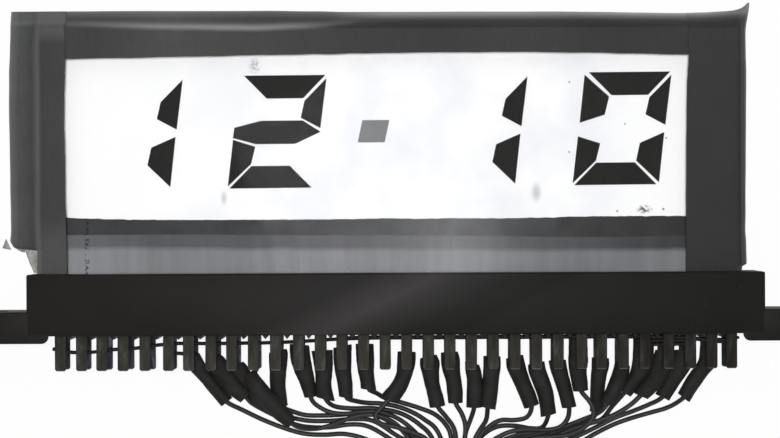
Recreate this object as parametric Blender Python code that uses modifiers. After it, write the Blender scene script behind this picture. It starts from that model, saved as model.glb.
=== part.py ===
"""A liquid crystal display cell for a clock, bound with tape and plugged into a card-edge connector.

The cell lies face up on a table. X runs along the connector, Y from the leads to the top of the
cell, and Z from the table to the viewer. The origin is the middle of the connector's back face.
"""

import math
from bisect import bisect_left
from itertools import accumulate

import bmesh
import bpy
from mathutils import Matrix, Vector

MM = 0.001
FIT = 0.3 * MM  # bond line or clearance between one piece and the next

# Card-edge connector
CONTACTS = 32  # positions in each of its two rows
PITCH = 3.9624 * MM  # 0.156 inch
END_BLOCK = 5.6 * MM  # from the last contact's middle to the housing's end
HOUSING_HEIGHT = 11.2 * MM
HOUSING_DEPTH = 9.4 * MM
HOUSING_EDGE = 0.35 * MM
SLOT_FLARE = 0.8 * MM  # chamfer round the mouth of the card slot
SLOT_TAPER = 0.6 * MM  # how much the chamfer widens the slot on each side
EAR_LENGTH = 12.0 * MM
EAR_HEIGHT = 6.0 * MM
EAR_FOOT = 1.2 * MM  # how far the ears reach below the housing's underside
EAR_ROUND = 1.3 * MM  # inner corner of each ear's foot
EAR_HOLE = 3.2 * MM
EAR_HOLE_INSET = 6.0 * MM  # from the ear's outer end to the screw hole's middle

# Barrier ribs on the housing's underside, between the contacts
RIB_HEIGHT = 0.75 * MM
RIB_WIDTH = 1.3 * MM
RIB_INSET = 0.8 * MM  # from the housing's front and back faces

# Solder tails and the bare wires soldered across them
TAIL_WIDTH = 2.05 * MM
TAIL_THICKNESS = 0.4 * MM
TAIL_LENGTH = 6.45 * MM  # below the housing
TAIL_ROOT = 1.0 * MM  # inside the housing
TAIL_CORNER = 0.35 * MM
ROW_SPACING = 4.0 * MM
BUS_DIAMETER = 0.6 * MM
BUS_SINK = 0.06 * MM  # how deep the solder beds a bus wire in the tails
SHORT_BUS_FIRST, SHORT_BUS_LAST = 1, 7
SHORT_BUS_DROPS = (1.9, 2.8, 2.9, 2.7, 2.5, 2.1, 3.4)  # mm below the housing, tail by tail
LONG_BUS_FIRST, LONG_BUS_LAST = 7, 32
LONG_BUS_DROPS = (1.4, 0.9, 1.3)  # mm below the housing at its start, middle and end
BUS_OVERHANG = 1.2 * MM

# Glass cell
GLASS_WIDTH = 129.0 * MM
GLASS_OFFSET = -1.1 * MM  # the glass stands against the slot's left end
PLATE = 1.6 * MM
CELL_RISE = 44.9 * MM  # front plate above the housing
INSERTION = 8.0 * MM  # front plate inside the slot
LEDGE = 4.5 * MM  # bare strip of the front plate under the rear plate
ARRIS = 0.15 * MM  # ground edge of the plates
LAYER = 0.3 * MM  # seal, and liquid crystal with its raised segments
SEAL_INSET = 1.0 * MM
SEAL_WIDTH = 2.5 * MM
SEAL_FOOT_INSET = 2.6 * MM
SEAL_FOOT_WIDTH = 3.0 * MM

# Digits
DIGITS = ("1", "2", "1", "0")
DIGIT_HALF_WIDTH = 7.8 * MM
DIGIT_HALF_HEIGHT = 10.35 * MM
STROKE = 4.0 * MM
SEGMENT_GAP = 0.45 * MM
MITRE_LEAN = 0.6 * MM  # how much further in the leaning mitres end
NOTCH_RIGHT = 0.7 * MM  # half the gap at the middle of a digit's right edge
NOTCH_LEFT = 1.3 * MM
BAR_END = 0.75 * MM  # half the blunt left end of the middle bar
SLANT = math.radians(7.0)
DIGIT_PITCH = 26.6 * MM  # within a pair
PAIR_PITCH = 63.8 * MM  # from the first pair to the second
PATTERN_MIDDLE = (-3.0 * MM, 31.7 * MM)
PATTERN_TILT = math.radians(0.3)
DOT_WIDTH, DOT_HEIGHT = 5.0 * MM, 4.1 * MM
DOT_SLANT = math.radians(12.5)
DOT_SHIFT = -0.95 * MM
SEGMENT_RELIEF = LAYER / 2

# Films and window
FILM = 0.2 * MM
WINDOW_LEFT = 4.95 * MM  # tape over the glass on each side
WINDOW_RIGHT = 9.8 * MM
WINDOW_TOP = 5.0 * MM
FILM_LIFT = 0.6 * MM  # front film above the housing

# Binding tape
TAPE = 0.2 * MM
TOP_FLANGE = 3.4 * MM  # where the tape meets itself past the glass
LEFT_FLANGE = 5.5 * MM
RIGHT_FLANGE = 1.5 * MM
FLANGE_FOLD = 0.35 * MM  # half the loop left in the fold
NARROW_FLANGE = 0.75 * MM  # below the shoulders, where the flanges are cut away
TAPE_FOOT = 0.35 * MM  # the side tapes' ends above the housing
LEFT_SHOULDER = 5.0 * MM  # where each side's full flange begins, above the housing
RIGHT_SHOULDER = 1.3 * MM
SHOULDER_DROP = 0.4 * MM  # how much the cut through the flange slopes
OVERLAP_RAMP = 1.6 * MM  # length over which a side tape climbs on the top tape
DOG_EAR = (0.7 * MM, 1.1 * MM)  # pinched corner of the right tape

# Sleeves
SLEEVE_RADIUS = 1.3 * MM
SLEEVE_FLAT = (1.7 * MM, 0.95 * MM)  # half width and half height where it grips a tail
SLEEVE_WALL = 0.32 * MM
SLEEVE_GRIP = 2.9 * MM  # length on the tail
SLEEVE_NECK = 0.55 * MM  # beyond the tail's tip, before the sleeve bends
SLEEVE_SIDES = 10
FINE_STEPS = 40  # between two route points, when a smooth curve is measured

# Leads, in millimetres: from each sleeve's end to where the loom begins
LEAD_DIAMETER = 0.9 * MM
LEAD_STEP = 2.6  # mm between the points of a lead, just under 3 diameters
LEAD_TIP_GAP = 0.3 * MM
LEADS = {  # contact: (sleeve end, route)
    7: ((-31.9, -18.4, 1.5), [(-28.6, -21.0, 0.6), (-25.0, -22.4, 0.5), (-20.7, -23.9, 0.5),
        (-17.0, -24.6, 0.5), (-13.3, -24.8, 0.5), (-9.5, -24.7, 0.5), (-5.1, -25.9, 0.6),
        (0.5, -29.0, 1.2), (5.5, -32.0, 2.4)]),
    8: ((-28.9, -18.0, 3.2), [(-26.3, -20.7, 1.0), (-22.5, -22.1, 0.6), (-18.7, -22.9, 0.5),
        (-15.7, -23.4, 0.5), (-12.3, -23.4, 0.5), (-8.6, -22.9, 0.5), (-5.2, -23.3, 0.5),
        (-1.2, -25.6, 0.6), (3.5, -28.8, 1.0)]),
    9: ((-24.6, -19.3, 1.7), [(-22.3, -20.9, 0.8), (-19.0, -21.7, 0.5), (-16.1, -22.2, 0.5),
        (-12.0, -22.2, 0.5), (-8.0, -21.9, 0.5), (-4.2, -22.3, 0.5), (0.0, -24.9, 1.0),
        (4.5, -27.6, 2.6)]),
    10: ((-19.5, -21.8, 5.2), [(-17.2, -23.2, 3.6), (-14.5, -23.4, 2.2), (-12.0, -22.8, 2.0),
         (-9.5, -21.8, 2.4), (-6.7, -21.0, 2.6), (-4.1, -20.9, 2.6), (-1.9, -21.5, 2.6),
         (0.3, -22.9, 2.6), (2.0, -24.8, 3.4), (5.0, -27.6, 4.7)]),
    11: ((-21.7, -18.8, 1.4), [(-19.8, -20.2, 0.8), (-17.0, -21.1, 0.5), (-13.8, -21.2, 0.5),
         (-10.8, -21.1, 0.5), (-7.5, -20.9, 0.5), (-3.5, -21.3, 0.5), (0.5, -23.6, 0.5),
         (4.0, -26.0, 0.5)]),
    12: ((-16.2, -17.3, 2.2), [(-15.0, -19.0, 1.5), (-12.5, -20.4, 1.5), (-9.5, -20.8, 1.5),
         (-6.0, -20.4, 1.5), (-2.5, -20.6, 1.5), (0.8, -22.0, 1.5), (3.7, -24.4, 1.9),
         (6.4, -27.4, 2.7)]),
    13: ((-13.2, -17.9, 2.2), [(-11.6, -19.4, 0.9), (-8.6, -19.9, 0.5), (-4.5, -19.9, 0.5),
         (-0.8, -20.4, 0.5), (1.8, -21.3, 0.5), (4.4, -23.0, 0.7), (6.8, -25.6, 1.5)]),
    14: ((-9.3, -17.2, 2.4), [(-7.3, -18.5, 1.2), (-5.2, -18.9, 0.5), (-3.0, -19.0, 0.5),
         (-0.6, -19.4, 0.5), (2.2, -20.3, 0.5), (5.2, -22.0, 0.5), (8.0, -24.8, 0.5)]),
    15: ((-5.2, -15.7, 2.6), [(-3.6, -17.0, 1.3), (-2.0, -18.0, 0.6), (1.2, -18.9, 0.5),
         (4.4, -19.9, 0.6), (7.2, -21.0, 1.2), (9.2, -22.8, 2.2), (10.2, -25.4, 2.8)]),
    17: ((-1.3, -18.3, 3.4), [(-2.9, -19.6, 3.6), (-3.9, -21.0, 3.7), (-2.8, -22.4, 3.8),
         (-0.4, -22.9, 3.9), (3.0, -24.0, 3.9), (6.4, -26.2, 3.9)]),
    18: ((7.6, -19.5, 2.4), [(9.2, -21.2, 3.2), (10.6, -23.2, 4.2), (11.0, -26.0, 4.9)]),
    19: ((10.7, -18.8, 2.6), [(12.2, -20.8, 3.2), (12.8, -23.2, 3.7), (12.4, -27.0, 3.9)]),
    20: ((14.3, -19.9, 2.2), [(13.9, -21.8, 1.5), (13.0, -24.2, 1.5), (12.3, -27.6, 1.8)]),
    21: ((17.2, -19.9, 2.4), [(16.6, -21.8, 3.8), (15.2, -23.8, 4.8), (14.0, -26.4, 5.0)]),
    22: ((25.0, -19.8, 3.2), [(24.3, -21.4, 2.6), (22.0, -22.0, 2.4), (19.4, -22.0, 2.5),
         (17.2, -23.2, 2.6), (15.0, -25.8, 2.7)]),
    23: ((28.2, -22.0, 2.0), [(27.3, -23.5, 1.0), (25.2, -23.8, 0.5), (22.1, -23.3, 0.5),
         (19.0, -23.4, 0.5), (16.4, -24.8, 0.5), (14.4, -27.4, 0.6)]),
    24: ((31.9, -19.8, 2.6), [(31.7, -21.6, 3.6), (30.2, -23.2, 3.7), (27.6, -23.7, 3.7),
         (23.6, -23.6, 3.7), (20.0, -24.4, 3.7), (16.4, -27.0, 3.9)]),
    25: ((34.1, -16.8, 4.0), [(35.6, -18.3, 4.8), (36.3, -19.8, 4.9), (36.0, -21.6, 4.9),
         (34.2, -23.4, 4.9), (31.0, -24.6, 4.9), (26.0, -25.0, 4.8), (21.0, -25.8, 4.9),
         (16.8, -28.0, 5.0)]),
    26: ((37.5, -20.6, 1.7), [(36.0, -22.2, 1.6), (32.4, -23.4, 1.7), (28.0, -24.2, 1.8),
         (23.0, -24.8, 1.6), (18.8, -26.4, 1.6), (15.6, -29.2, 1.9)]),
    27: ((39.1, -18.7, 4.5), [(37.3, -20.6, 3.8), (34.6, -21.9, 2.8), (30.6, -23.4, 2.8),
         (26.0, -24.6, 2.7), (21.6, -25.6, 2.7), (17.4, -28.0, 2.8)]),
    28: ((41.6, -17.6, 2.0), [(40.2, -19.8, 1.0), (38.3, -22.2, 0.5), (35.0, -23.2, 0.5),
         (30.0, -24.6, 0.5), (24.6, -25.6, 0.5), (20.0, -27.2, 0.5), (16.6, -29.8, 0.7)]),
    29: ((44.9, -17.3, 4.1), [(43.2, -19.2, 3.7), (40.4, -20.9, 3.7), (36.8, -22.2, 3.7),
         (33.0, -23.4, 3.7), (28.0, -25.4, 3.7), (22.6, -27.4, 3.8), (18.2, -30.0, 3.9)]),
    30: ((49.2, -17.8, 2.4), [(46.9, -19.4, 1.5), (43.9, -20.6, 1.5), (40.7, -21.8, 1.5),
         (37.4, -23.4, 1.5), (33.6, -25.2, 1.5), (28.8, -27.0, 1.5), (23.6, -28.8, 1.6),
         (18.6, -31.4, 1.9)]),
    31: ((53.2, -18.2, 2.2), [(50.8, -19.9, 0.9), (47.3, -21.0, 0.5), (44.1, -21.9, 0.5),
         (40.7, -23.1, 0.5), (37.4, -24.7, 0.5), (34.0, -26.6, 0.6), (28.0, -29.2, 1.4),
         (21.6, -32.0, 2.6)]),
}
LOOM_ROWS = (  # contacts whose leads lie in each layer of the loom, from the table up
    (11, 14, 23, 28),
    (8, 13, 20, 26, 30),
    (7, 12, 15, 22, 27, 31),
    (9, 17, 19, 24, 29),
    (10, 18, 21, 25),
)
LOOM_SPACING = 0.95  # mm between the leads in it

# Loom: the rest of the leads, tied together
LOOM_START = (11.5, -38.5, 3.6)  # mm, in the middle of the tied leads
LOOM_ROUTE = [(11.5, -44.0, 3.4), (13.4, -50.2, 2.6), (18.8, -54.8, 2.3), (26.0, -56.6, 2.3),
              (36.0, -56.2, 2.3), (48.0, -55.4, 2.3), (60.0, -56.0, 2.3), (72.0, -56.4, 2.3)]
LOOM_STEP = 4.0  # mm
LOOM_HALF = (2.95 * MM, 2.2 * MM)
LOOM_SIDES = 16
TIE_PLACE = 0.6  # of the way from the loom's start to the next point of its route
TIE_BAND = 2.5 * MM
TIE_WALL = 0.8 * MM
TIE_HEAD = (4.6 * MM, 3.6 * MM, 3.4 * MM)
TIE_HEAD_SINK = 0.5 * MM

HALF_DEPTH = HOUSING_DEPTH / 2
HALF_HEIGHT = HOUSING_HEIGHT / 2
HOUSING_HALF = (CONTACTS - 1) / 2 * PITCH + END_BLOCK
BACK_ROW = HALF_DEPTH - ROW_SPACING / 2
TAIL_TIP = -HALF_HEIGHT - TAIL_LENGTH
GLASS_LEFT, GLASS_RIGHT = GLASS_OFFSET - GLASS_WIDTH / 2, GLASS_OFFSET + GLASS_WIDTH / 2
GLASS_TOP = HALF_HEIGHT + CELL_RISE
REAR_FOOT = HALF_HEIGHT + LEDGE
FRONT_PLATE = (HALF_DEPTH - PLATE / 2, HALF_DEPTH + PLATE / 2)  # back and front faces
CELL_GAP = (FRONT_PLATE[0] - FIT - LAYER, FRONT_PLATE[0] - FIT)
REAR_PLATE = (CELL_GAP[0] - FIT - PLATE, CELL_GAP[0] - FIT)
SEAL_FOOT = REAR_FOOT + SEAL_FOOT_INSET
WINDOW = (
    GLASS_LEFT + WINDOW_LEFT,
    GLASS_RIGHT - WINDOW_RIGHT,
    SEAL_FOOT + SEAL_FOOT_WIDTH,
    GLASS_TOP - WINDOW_TOP,
)


def contact_x(contact):
    """The middle of a contact, counted from 1 at the left."""
    return (contact - (CONTACTS + 1) / 2) * PITCH


def material(name, colour, roughness, metallic=0.0, alpha=1.0):
    m = bpy.data.materials.get(name)
    if m:
        return m
    m = bpy.data.materials.new(name)
    m.use_nodes = True
    shader = m.node_tree.nodes["Principled BSDF"]
    shader.inputs["Base Color"].default_value = (*colour, 1.0)
    shader.inputs["Roughness"].default_value = roughness
    shader.inputs["Metallic"].default_value = metallic
    shader.inputs["Alpha"].default_value = alpha
    return m


def add(name, bm, finish, home):
    """An object made from a bmesh, whose faces are turned to point out."""
    bmesh.ops.recalc_face_normals(bm, faces=bm.faces)
    mesh = bpy.data.meshes.new(name)
    bm.to_mesh(mesh)
    bm.free()
    obj = bpy.data.objects.new(name, mesh)
    home.objects.link(obj)
    if finish:
        mesh.materials.append(finish)
    return obj


def add_box(bm, low, high):
    """A box between two corners, added to a bmesh. Its vertices are returned."""
    size = [b - a for a, b in zip(low, high)]
    middle = [(a + b) / 2 for a, b in zip(low, high)]
    matrix = Matrix.Translation(middle) @ Matrix.Diagonal((*size, 1.0))
    return bmesh.ops.create_cube(bm, size=1.0, matrix=matrix)["verts"]


def add_prism(bm, outline, low, high):
    """A flat outline of (x, y) points, raised from one height to another."""
    face = bm.faces.new([bm.verts.new((x, y, low)) for x, y in outline])
    top = bmesh.ops.extrude_face_region(bm, geom=[face])["geom"]
    raised = [v for v in top if isinstance(v, bmesh.types.BMVert)]
    bmesh.ops.translate(bm, verts=raised, vec=(0, 0, high - low))


def bevel(obj, width, segments=1, angle=math.radians(40)):
    b = obj.modifiers.new("edges", "BEVEL")
    b.width = width
    b.segments = segments
    b.limit_method = "ANGLE"
    b.angle_limit = angle


def combine(obj, other, operation):
    """A Boolean with a helper object, which isn't shown."""
    other.hide_render = True
    other.display_type = "WIRE"
    b = obj.modifiers.new(other.name, "BOOLEAN")
    b.operation = operation
    b.object = other


def smooth(points, step):
    """Points evenly spaced, about a step apart, along a smooth curve through the given points."""
    p = [Vector(q) for q in points]
    p = [2 * p[0] - p[1], *p, 2 * p[-1] - p[-2]]
    fine = []
    for before, start, end, after in zip(p, p[1:], p[2:], p[3:]):
        leave, arrive = (end - before) / 2, (after - start) / 2
        for i in range(FINE_STEPS):
            t = i / FINE_STEPS
            fine.append(
                (2 * t**3 - 3 * t**2 + 1) * start
                + (t**3 - 2 * t**2 + t) * leave
                + (3 * t**2 - 2 * t**3) * end
                + (t**3 - t**2) * arrive
            )
    fine.append(p[-2])
    runs = [0.0, *accumulate((b - a).length for a, b in zip(fine, fine[1:]))]
    count = max(1, round(runs[-1] / step))
    marks = [bisect_left(runs, runs[-1] * i / count - 1e-9) for i in range(count + 1)]
    return [fine[min(mark, len(fine) - 1)] for mark in marks]


def ring(line, index, half_width, half_height, sides):
    """An oval round one point of a line, square to the line and level across."""
    along = line[min(index + 1, len(line) - 1)] - line[max(index - 1, 0)]
    across = along.cross(Vector((0, 0, 1))).normalized()
    up = across.cross(along).normalized()
    turns = [2 * math.pi * (i + 0.5) / sides for i in range(sides)]
    return [
        line[index] + half_width * math.cos(a) * across + half_height * math.sin(a) * up
        for a in turns
    ]


def loft(rings, closed):
    """A bmesh skin over rings of points, closed end to end or capped at both ends."""
    bm = bmesh.new()
    loops = [[bm.verts.new(p) for p in points] for points in rings]
    pairs = list(zip(loops, loops[1:])) + ([(loops[-1], loops[0])] if closed else [])
    for a, b in pairs:
        for i in range(len(a)):
            j = (i + 1) % len(a)
            bm.faces.new((a[i], a[j], b[j], b[i]))
    if not closed:
        bm.faces.new(loops[0])
        bm.faces.new(loops[-1])
    return bm


def tube_mesh(name, points, diameter, home):
    """A round wire along points, as a closed mesh that a Boolean can take."""
    curve = bpy.data.curves.new(name, "CURVE")
    wire(curve, points, diameter)
    bare = bpy.data.objects.new(name + "_curve", curve)
    home.objects.link(bare)
    bpy.context.view_layer.update()
    mesh = bpy.data.meshes.new_from_object(
        bare.evaluated_get(bpy.context.evaluated_depsgraph_get())
    )
    bm = bmesh.new()
    bm.from_mesh(mesh)
    bmesh.ops.remove_doubles(bm, verts=bm.verts, dist=1e-6)
    bpy.data.objects.remove(bare)
    bpy.data.curves.remove(curve)
    bpy.data.meshes.remove(mesh)
    return add(name, bm, None, home)


def wire(curve, points, diameter):
    """Fills a curve with one poly spline, round in section and closed at its ends."""
    curve.dimensions = "3D"
    curve.bevel_depth = diameter / 2
    curve.bevel_resolution = 2
    curve.use_fill_caps = True
    spline = curve.splines.new("POLY")
    spline.points.add(len(points) - 1)
    for point, place in zip(spline.points, points):
        point.co = (*place, 1.0)


def make_housing(parts, tools, finish):
    """The moulded housing, with its ears, slot, solder tails and bus wires."""
    bm = bmesh.new()
    add_box(bm, (-HOUSING_HALF, -HALF_HEIGHT, 0), (HOUSING_HALF, HALF_HEIGHT, HOUSING_DEPTH))
    housing = add("connector_housing", bm, finish, parts)
    combine(housing, make_ears(tools), "UNION")
    combine(housing, make_slot(tools), "DIFFERENCE")
    combine(housing, make_ear_holes(tools), "DIFFERENCE")
    bevel(housing, HOUSING_EDGE)
    combine(housing, make_ribs(tools), "UNION")
    combine(housing, make_tails(tools), "UNION")
    for bus in make_buses(tools):
        combine(housing, bus, "UNION")
    return housing


def make_ears(tools):
    """A mounting ear at each end, with a foot below the housing that is rounded inside."""
    bm = bmesh.new()
    top = -HALF_HEIGHT - EAR_FOOT + EAR_HEIGHT
    foot = -HALF_HEIGHT - EAR_FOOT
    inner = HOUSING_HALF - EAR_ROUND - 2 * FIT
    arc = [
        (
            inner + EAR_ROUND - EAR_ROUND * math.sin(a),
            foot + EAR_ROUND - EAR_ROUND * math.cos(a),
        )
        for a in (math.pi / 2 * i / 5 for i in range(6))
    ]
    outer = HOUSING_HALF + EAR_LENGTH
    for side in (-1, 1):
        outline = [(outer, foot), (outer, top), (inner, top), *reversed(arc)]
        add_prism(bm, [(side * x, y) for x, y in outline], 0, HOUSING_DEPTH)
    return add("ears", bm, None, tools)


def make_ribs(tools):
    """A row of pointed barrier ribs between the contacts, across the housing's underside."""
    bm = bmesh.new()
    half, root = RIB_WIDTH / 2, RIB_HEIGHT - HALF_HEIGHT
    for contact in range(1, CONTACTS):
        x = (contact_x(contact) + contact_x(contact + 1)) / 2
        outline = [(x - half, -HALF_HEIGHT), (x, -HALF_HEIGHT - RIB_HEIGHT)]
        outline += [(x + half, -HALF_HEIGHT), (x + half, root), (x - half, root)]
        add_prism(bm, outline, RIB_INSET, HOUSING_DEPTH - RIB_INSET)
    return add("ribs", bm, None, tools)


def make_slot(tools):
    """The card slot, a fit round the front plate, with a flared mouth."""
    half = GLASS_WIDTH / 2 + abs(GLASS_OFFSET) + FIT
    low, high = FRONT_PLATE[0] - FIT, FRONT_PLATE[1] + FIT
    floor = HALF_HEIGHT - INSERTION - FIT
    levels = ((floor, 0), (HALF_HEIGHT - SLOT_FLARE, 0), (HALF_HEIGHT + SLOT_FLARE, 2 * SLOT_TAPER))
    rings = [
        [
            Vector((-half - grow, y, low - grow)),
            Vector((half + grow, y, low - grow)),
            Vector((half + grow, y, high + grow)),
            Vector((-half - grow, y, high + grow)),
        ]
        for y, grow in levels
    ]
    return add("slot", loft(rings, False), None, tools)


def make_ear_holes(tools):
    """A screw hole through each ear, along the way the card is pushed in."""
    bm = bmesh.new()
    reach = HOUSING_HALF + EAR_LENGTH - EAR_HOLE_INSET
    middle = EAR_HEIGHT / 2 - HALF_HEIGHT - EAR_FOOT
    for side in (-1, 1):
        place = Matrix.Translation((side * reach, middle, HALF_DEPTH))
        bmesh.ops.create_cone(
            bm,
            cap_ends=True,
            segments=24,
            radius1=EAR_HOLE / 2,
            radius2=EAR_HOLE / 2,
            depth=2 * EAR_HEIGHT,
            matrix=place @ Matrix.Rotation(math.pi / 2, 4, "X"),
        )
    return add("ear_holes", bm, None, tools)


def make_tails(tools):
    """Both rows of flat solder tails, with the corners of their tips cut off."""
    bm = bmesh.new()
    half, root = TAIL_WIDTH / 2, TAIL_ROOT - HALF_HEIGHT
    for side in (-1, 1):
        middle = HALF_DEPTH + side * ROW_SPACING / 2
        for contact in range(1, CONTACTS + 1):
            x = contact_x(contact)
            outline = [
                (x - half, root),
                (x - half, TAIL_TIP + TAIL_CORNER),
                (x - half + TAIL_CORNER, TAIL_TIP),
                (x + half - TAIL_CORNER, TAIL_TIP),
                (x + half, TAIL_TIP + TAIL_CORNER),
                (x + half, root),
            ]
            add_prism(bm, outline, middle - TAIL_THICKNESS / 2, middle + TAIL_THICKNESS / 2)
    return add("tails", bm, None, tools)


def make_buses(tools):
    """Two bare wires soldered across the backs of the front tails: a short bent one and a long one."""
    z = HALF_DEPTH + ROW_SPACING / 2 - TAIL_THICKNESS / 2 - BUS_DIAMETER / 2 + BUS_SINK
    short = [
        (contact_x(SHORT_BUS_FIRST + i), -HALF_HEIGHT - drop * MM, z)
        for i, drop in enumerate(SHORT_BUS_DROPS)
    ]
    short[0] = (short[0][0] - BUS_OVERHANG, *short[0][1:])
    start, end = contact_x(LONG_BUS_FIRST) - BUS_OVERHANG, contact_x(LONG_BUS_LAST) + BUS_OVERHANG
    turns = (0, 0.25, 0.32, 0.8, 0.86, 1)
    first, middle, last = LONG_BUS_DROPS
    long = [
        (start + share * (end - start), -HALF_HEIGHT - drop * MM, z)
        for share, drop in zip(turns, (first, first, middle, middle, last, last))
    ]
    return [
        tube_mesh("short_bus", short, BUS_DIAMETER, tools),
        tube_mesh("long_bus", long, BUS_DIAMETER, tools),
    ]


def make_plates(parts, finish):
    """The two glass plates: the front one is longer, and its ledge goes into the connector."""
    for name, foot, faces in (
        ("front_glass", HALF_HEIGHT - INSERTION, FRONT_PLATE),
        ("rear_glass", REAR_FOOT, REAR_PLATE),
    ):
        bm = bmesh.new()
        add_box(bm, (GLASS_LEFT, foot, faces[0]), (GLASS_RIGHT, GLASS_TOP, faces[1]))
        bevel(add(name, bm, finish, parts), ARRIS)


def make_seal(parts, tools, finish):
    """The seal between the plates, a frame round the liquid crystal."""
    bm = bmesh.new()
    left, right = GLASS_LEFT + SEAL_INSET, GLASS_RIGHT - SEAL_INSET
    top = GLASS_TOP - SEAL_INSET
    add_box(bm, (left, SEAL_FOOT, CELL_GAP[0]), (right, top, CELL_GAP[1]))
    seal = add("cell_seal", bm, finish, parts)
    bm = bmesh.new()
    add_box(
        bm,
        (left + SEAL_WIDTH, SEAL_FOOT + SEAL_FOOT_WIDTH, CELL_GAP[0] - LAYER),
        (right - SEAL_WIDTH, top - SEAL_WIDTH, CELL_GAP[1] + LAYER),
    )
    combine(seal, add("seal_opening", bm, None, tools), "DIFFERENCE")


def segment_outlines():
    """The outline of each of a digit's seven bars, about the digit's middle and upright."""
    w, h = DIGIT_HALF_WIDTH, DIGIT_HALF_HEIGHT
    near, far = w - STROKE, w - STROKE - MITRE_LEAN
    gap = SEGMENT_GAP * math.sqrt(0.5)
    inner = h - STROKE
    top = [(-w + gap, h), (w - gap, h), (near, inner), (-far, inner)]
    upper_right = [(w, h - gap), (near, inner - gap), (near, STROKE / 2 + gap * 2), (w, NOTCH_RIGHT)]
    upper_left = [(-w, h - gap), (-far, inner - gap), (-far, STROKE / 2 + gap * 2), (-w, NOTCH_LEFT)]
    bar = [
        (w, 0),
        (near, STROKE / 2),
        (-near, STROKE / 2),
        (-w, BAR_END),
        (-w, -BAR_END),
        (-near, -STROKE / 2),
        (near, -STROKE / 2),
    ]
    lower_left = [(-w, -h + gap), (-near, -inner + gap), (-near, -STROKE / 2 - gap * 2), (-w, -NOTCH_LEFT)]
    lower_right = [(w, -h + gap), (far, -inner + gap), (far, -STROKE / 2 - gap * 2), (w, -NOTCH_RIGHT)]
    bottom = [(-x, -y) for x, y in top]
    return {
        "a": top,
        "b": upper_right,
        "c": lower_right,
        "d": bottom,
        "e": lower_left,
        "f": upper_left,
        "g": bar,
    }


LIT = {"0": "abcdef", "1": "bc", "2": "abged"}


def place_pattern(outline, middle, slant):
    """Slants an outline, moves it along the row of digits and tilts the row."""
    across, up = math.cos(PATTERN_TILT), math.sin(PATTERN_TILT)
    placed = []
    for x, y in outline:
        u, v = x + y * math.tan(slant) + middle, y
        placed.append((PATTERN_MIDDLE[0] + u * across - v * up, PATTERN_MIDDLE[1] + u * up + v * across))
    return placed


def make_liquid_crystal(parts, tools, finish):
    """The liquid crystal, a thin sheet with the segments that are on raised from it."""
    bm = bmesh.new()
    left, right = GLASS_LEFT + SEAL_INSET + SEAL_WIDTH, GLASS_RIGHT - SEAL_INSET - SEAL_WIDTH
    foot, top = SEAL_FOOT + SEAL_FOOT_WIDTH, GLASS_TOP - SEAL_INSET - SEAL_WIDTH
    face = CELL_GAP[1] - SEGMENT_RELIEF
    add_box(bm, (left + FIT, foot + FIT, CELL_GAP[0]), (right - FIT, top - FIT, face))
    sheet = add("liquid_crystal", bm, finish, parts)
    bm = bmesh.new()
    outlines = segment_outlines()
    firsts = (-PAIR_PITCH - DIGIT_PITCH) / 2, (PAIR_PITCH - DIGIT_PITCH) / 2
    middles = [first + i * DIGIT_PITCH for first in firsts for i in (0, 1)]
    for digit, middle in zip(DIGITS, middles):
        for bar in LIT[digit]:
            outline = place_pattern(outlines[bar], middle, SLANT)
            add_prism(bm, outline, face - SEGMENT_RELIEF / 2, CELL_GAP[1])
    w, h = DOT_WIDTH / 2, DOT_HEIGHT / 2
    dot = place_pattern([(-w, -h), (w, -h), (w, h), (-w, h)], DOT_SHIFT, DOT_SLANT)
    add_prism(bm, dot, face - SEGMENT_RELIEF / 2, CELL_GAP[1])
    combine(sheet, add("segments", bm, None, tools), "UNION")


def make_films(parts, front_finish, rear_finish):
    """A polarising film on each face of the cell, cut to fit inside the tape."""
    left, right, foot, top = WINDOW
    for name, low, back, finish in (
        ("front_polariser", HALF_HEIGHT + FILM_LIFT, FRONT_PLATE[1] + FIT, front_finish),
        ("rear_polariser", foot - SEAL_FOOT_WIDTH, REAR_PLATE[0] - FIT - FILM, rear_finish),
    ):
        bm = bmesh.new()
        add_box(bm, (left + FIT, low, back), (right - FIT, top - FIT, back + FILM))
        add(name, bm, finish, parts)


def tape_section(cover, flange, lift):
    """A tape's section, as (distance outside the glass, height) from its front edge to its back
    edge: flat on the glass, folded back on itself past the glass, and flat on the back.
    """
    front, back = FRONT_PLATE[1] + FIT + lift, REAR_PLATE[0] - FIT - lift
    middle = (FRONT_PLATE[1] + REAR_PLATE[0]) / 2
    return [
        (-cover, front),
        (FIT, front),
        (flange - FLANGE_FOLD, middle + FLANGE_FOLD),
        (flange, middle),
        (flange - FLANGE_FOLD, middle - FLANGE_FOLD),
        (FIT, back),
        (-cover, back),
    ]


def make_tape(name, sections, finish, parts):
    """A folded strip of tape through sections of points, given its thickness outwards."""
    bm = bmesh.new()
    loops = [[bm.verts.new(p) for p in points] for points in sections]
    for a, b in zip(loops, loops[1:]):
        for i in range(len(a) - 1):
            bm.faces.new((a[i], a[i + 1], b[i + 1], b[i]))
    tape = add(name, bm, finish, parts)
    s = tape.modifiers.new("thickness", "SOLIDIFY")
    s.thickness = TAPE
    s.offset = math.copysign(1.0, tape.data.polygons[0].normal.z)
    s.use_even_offset = True
    return tape


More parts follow.
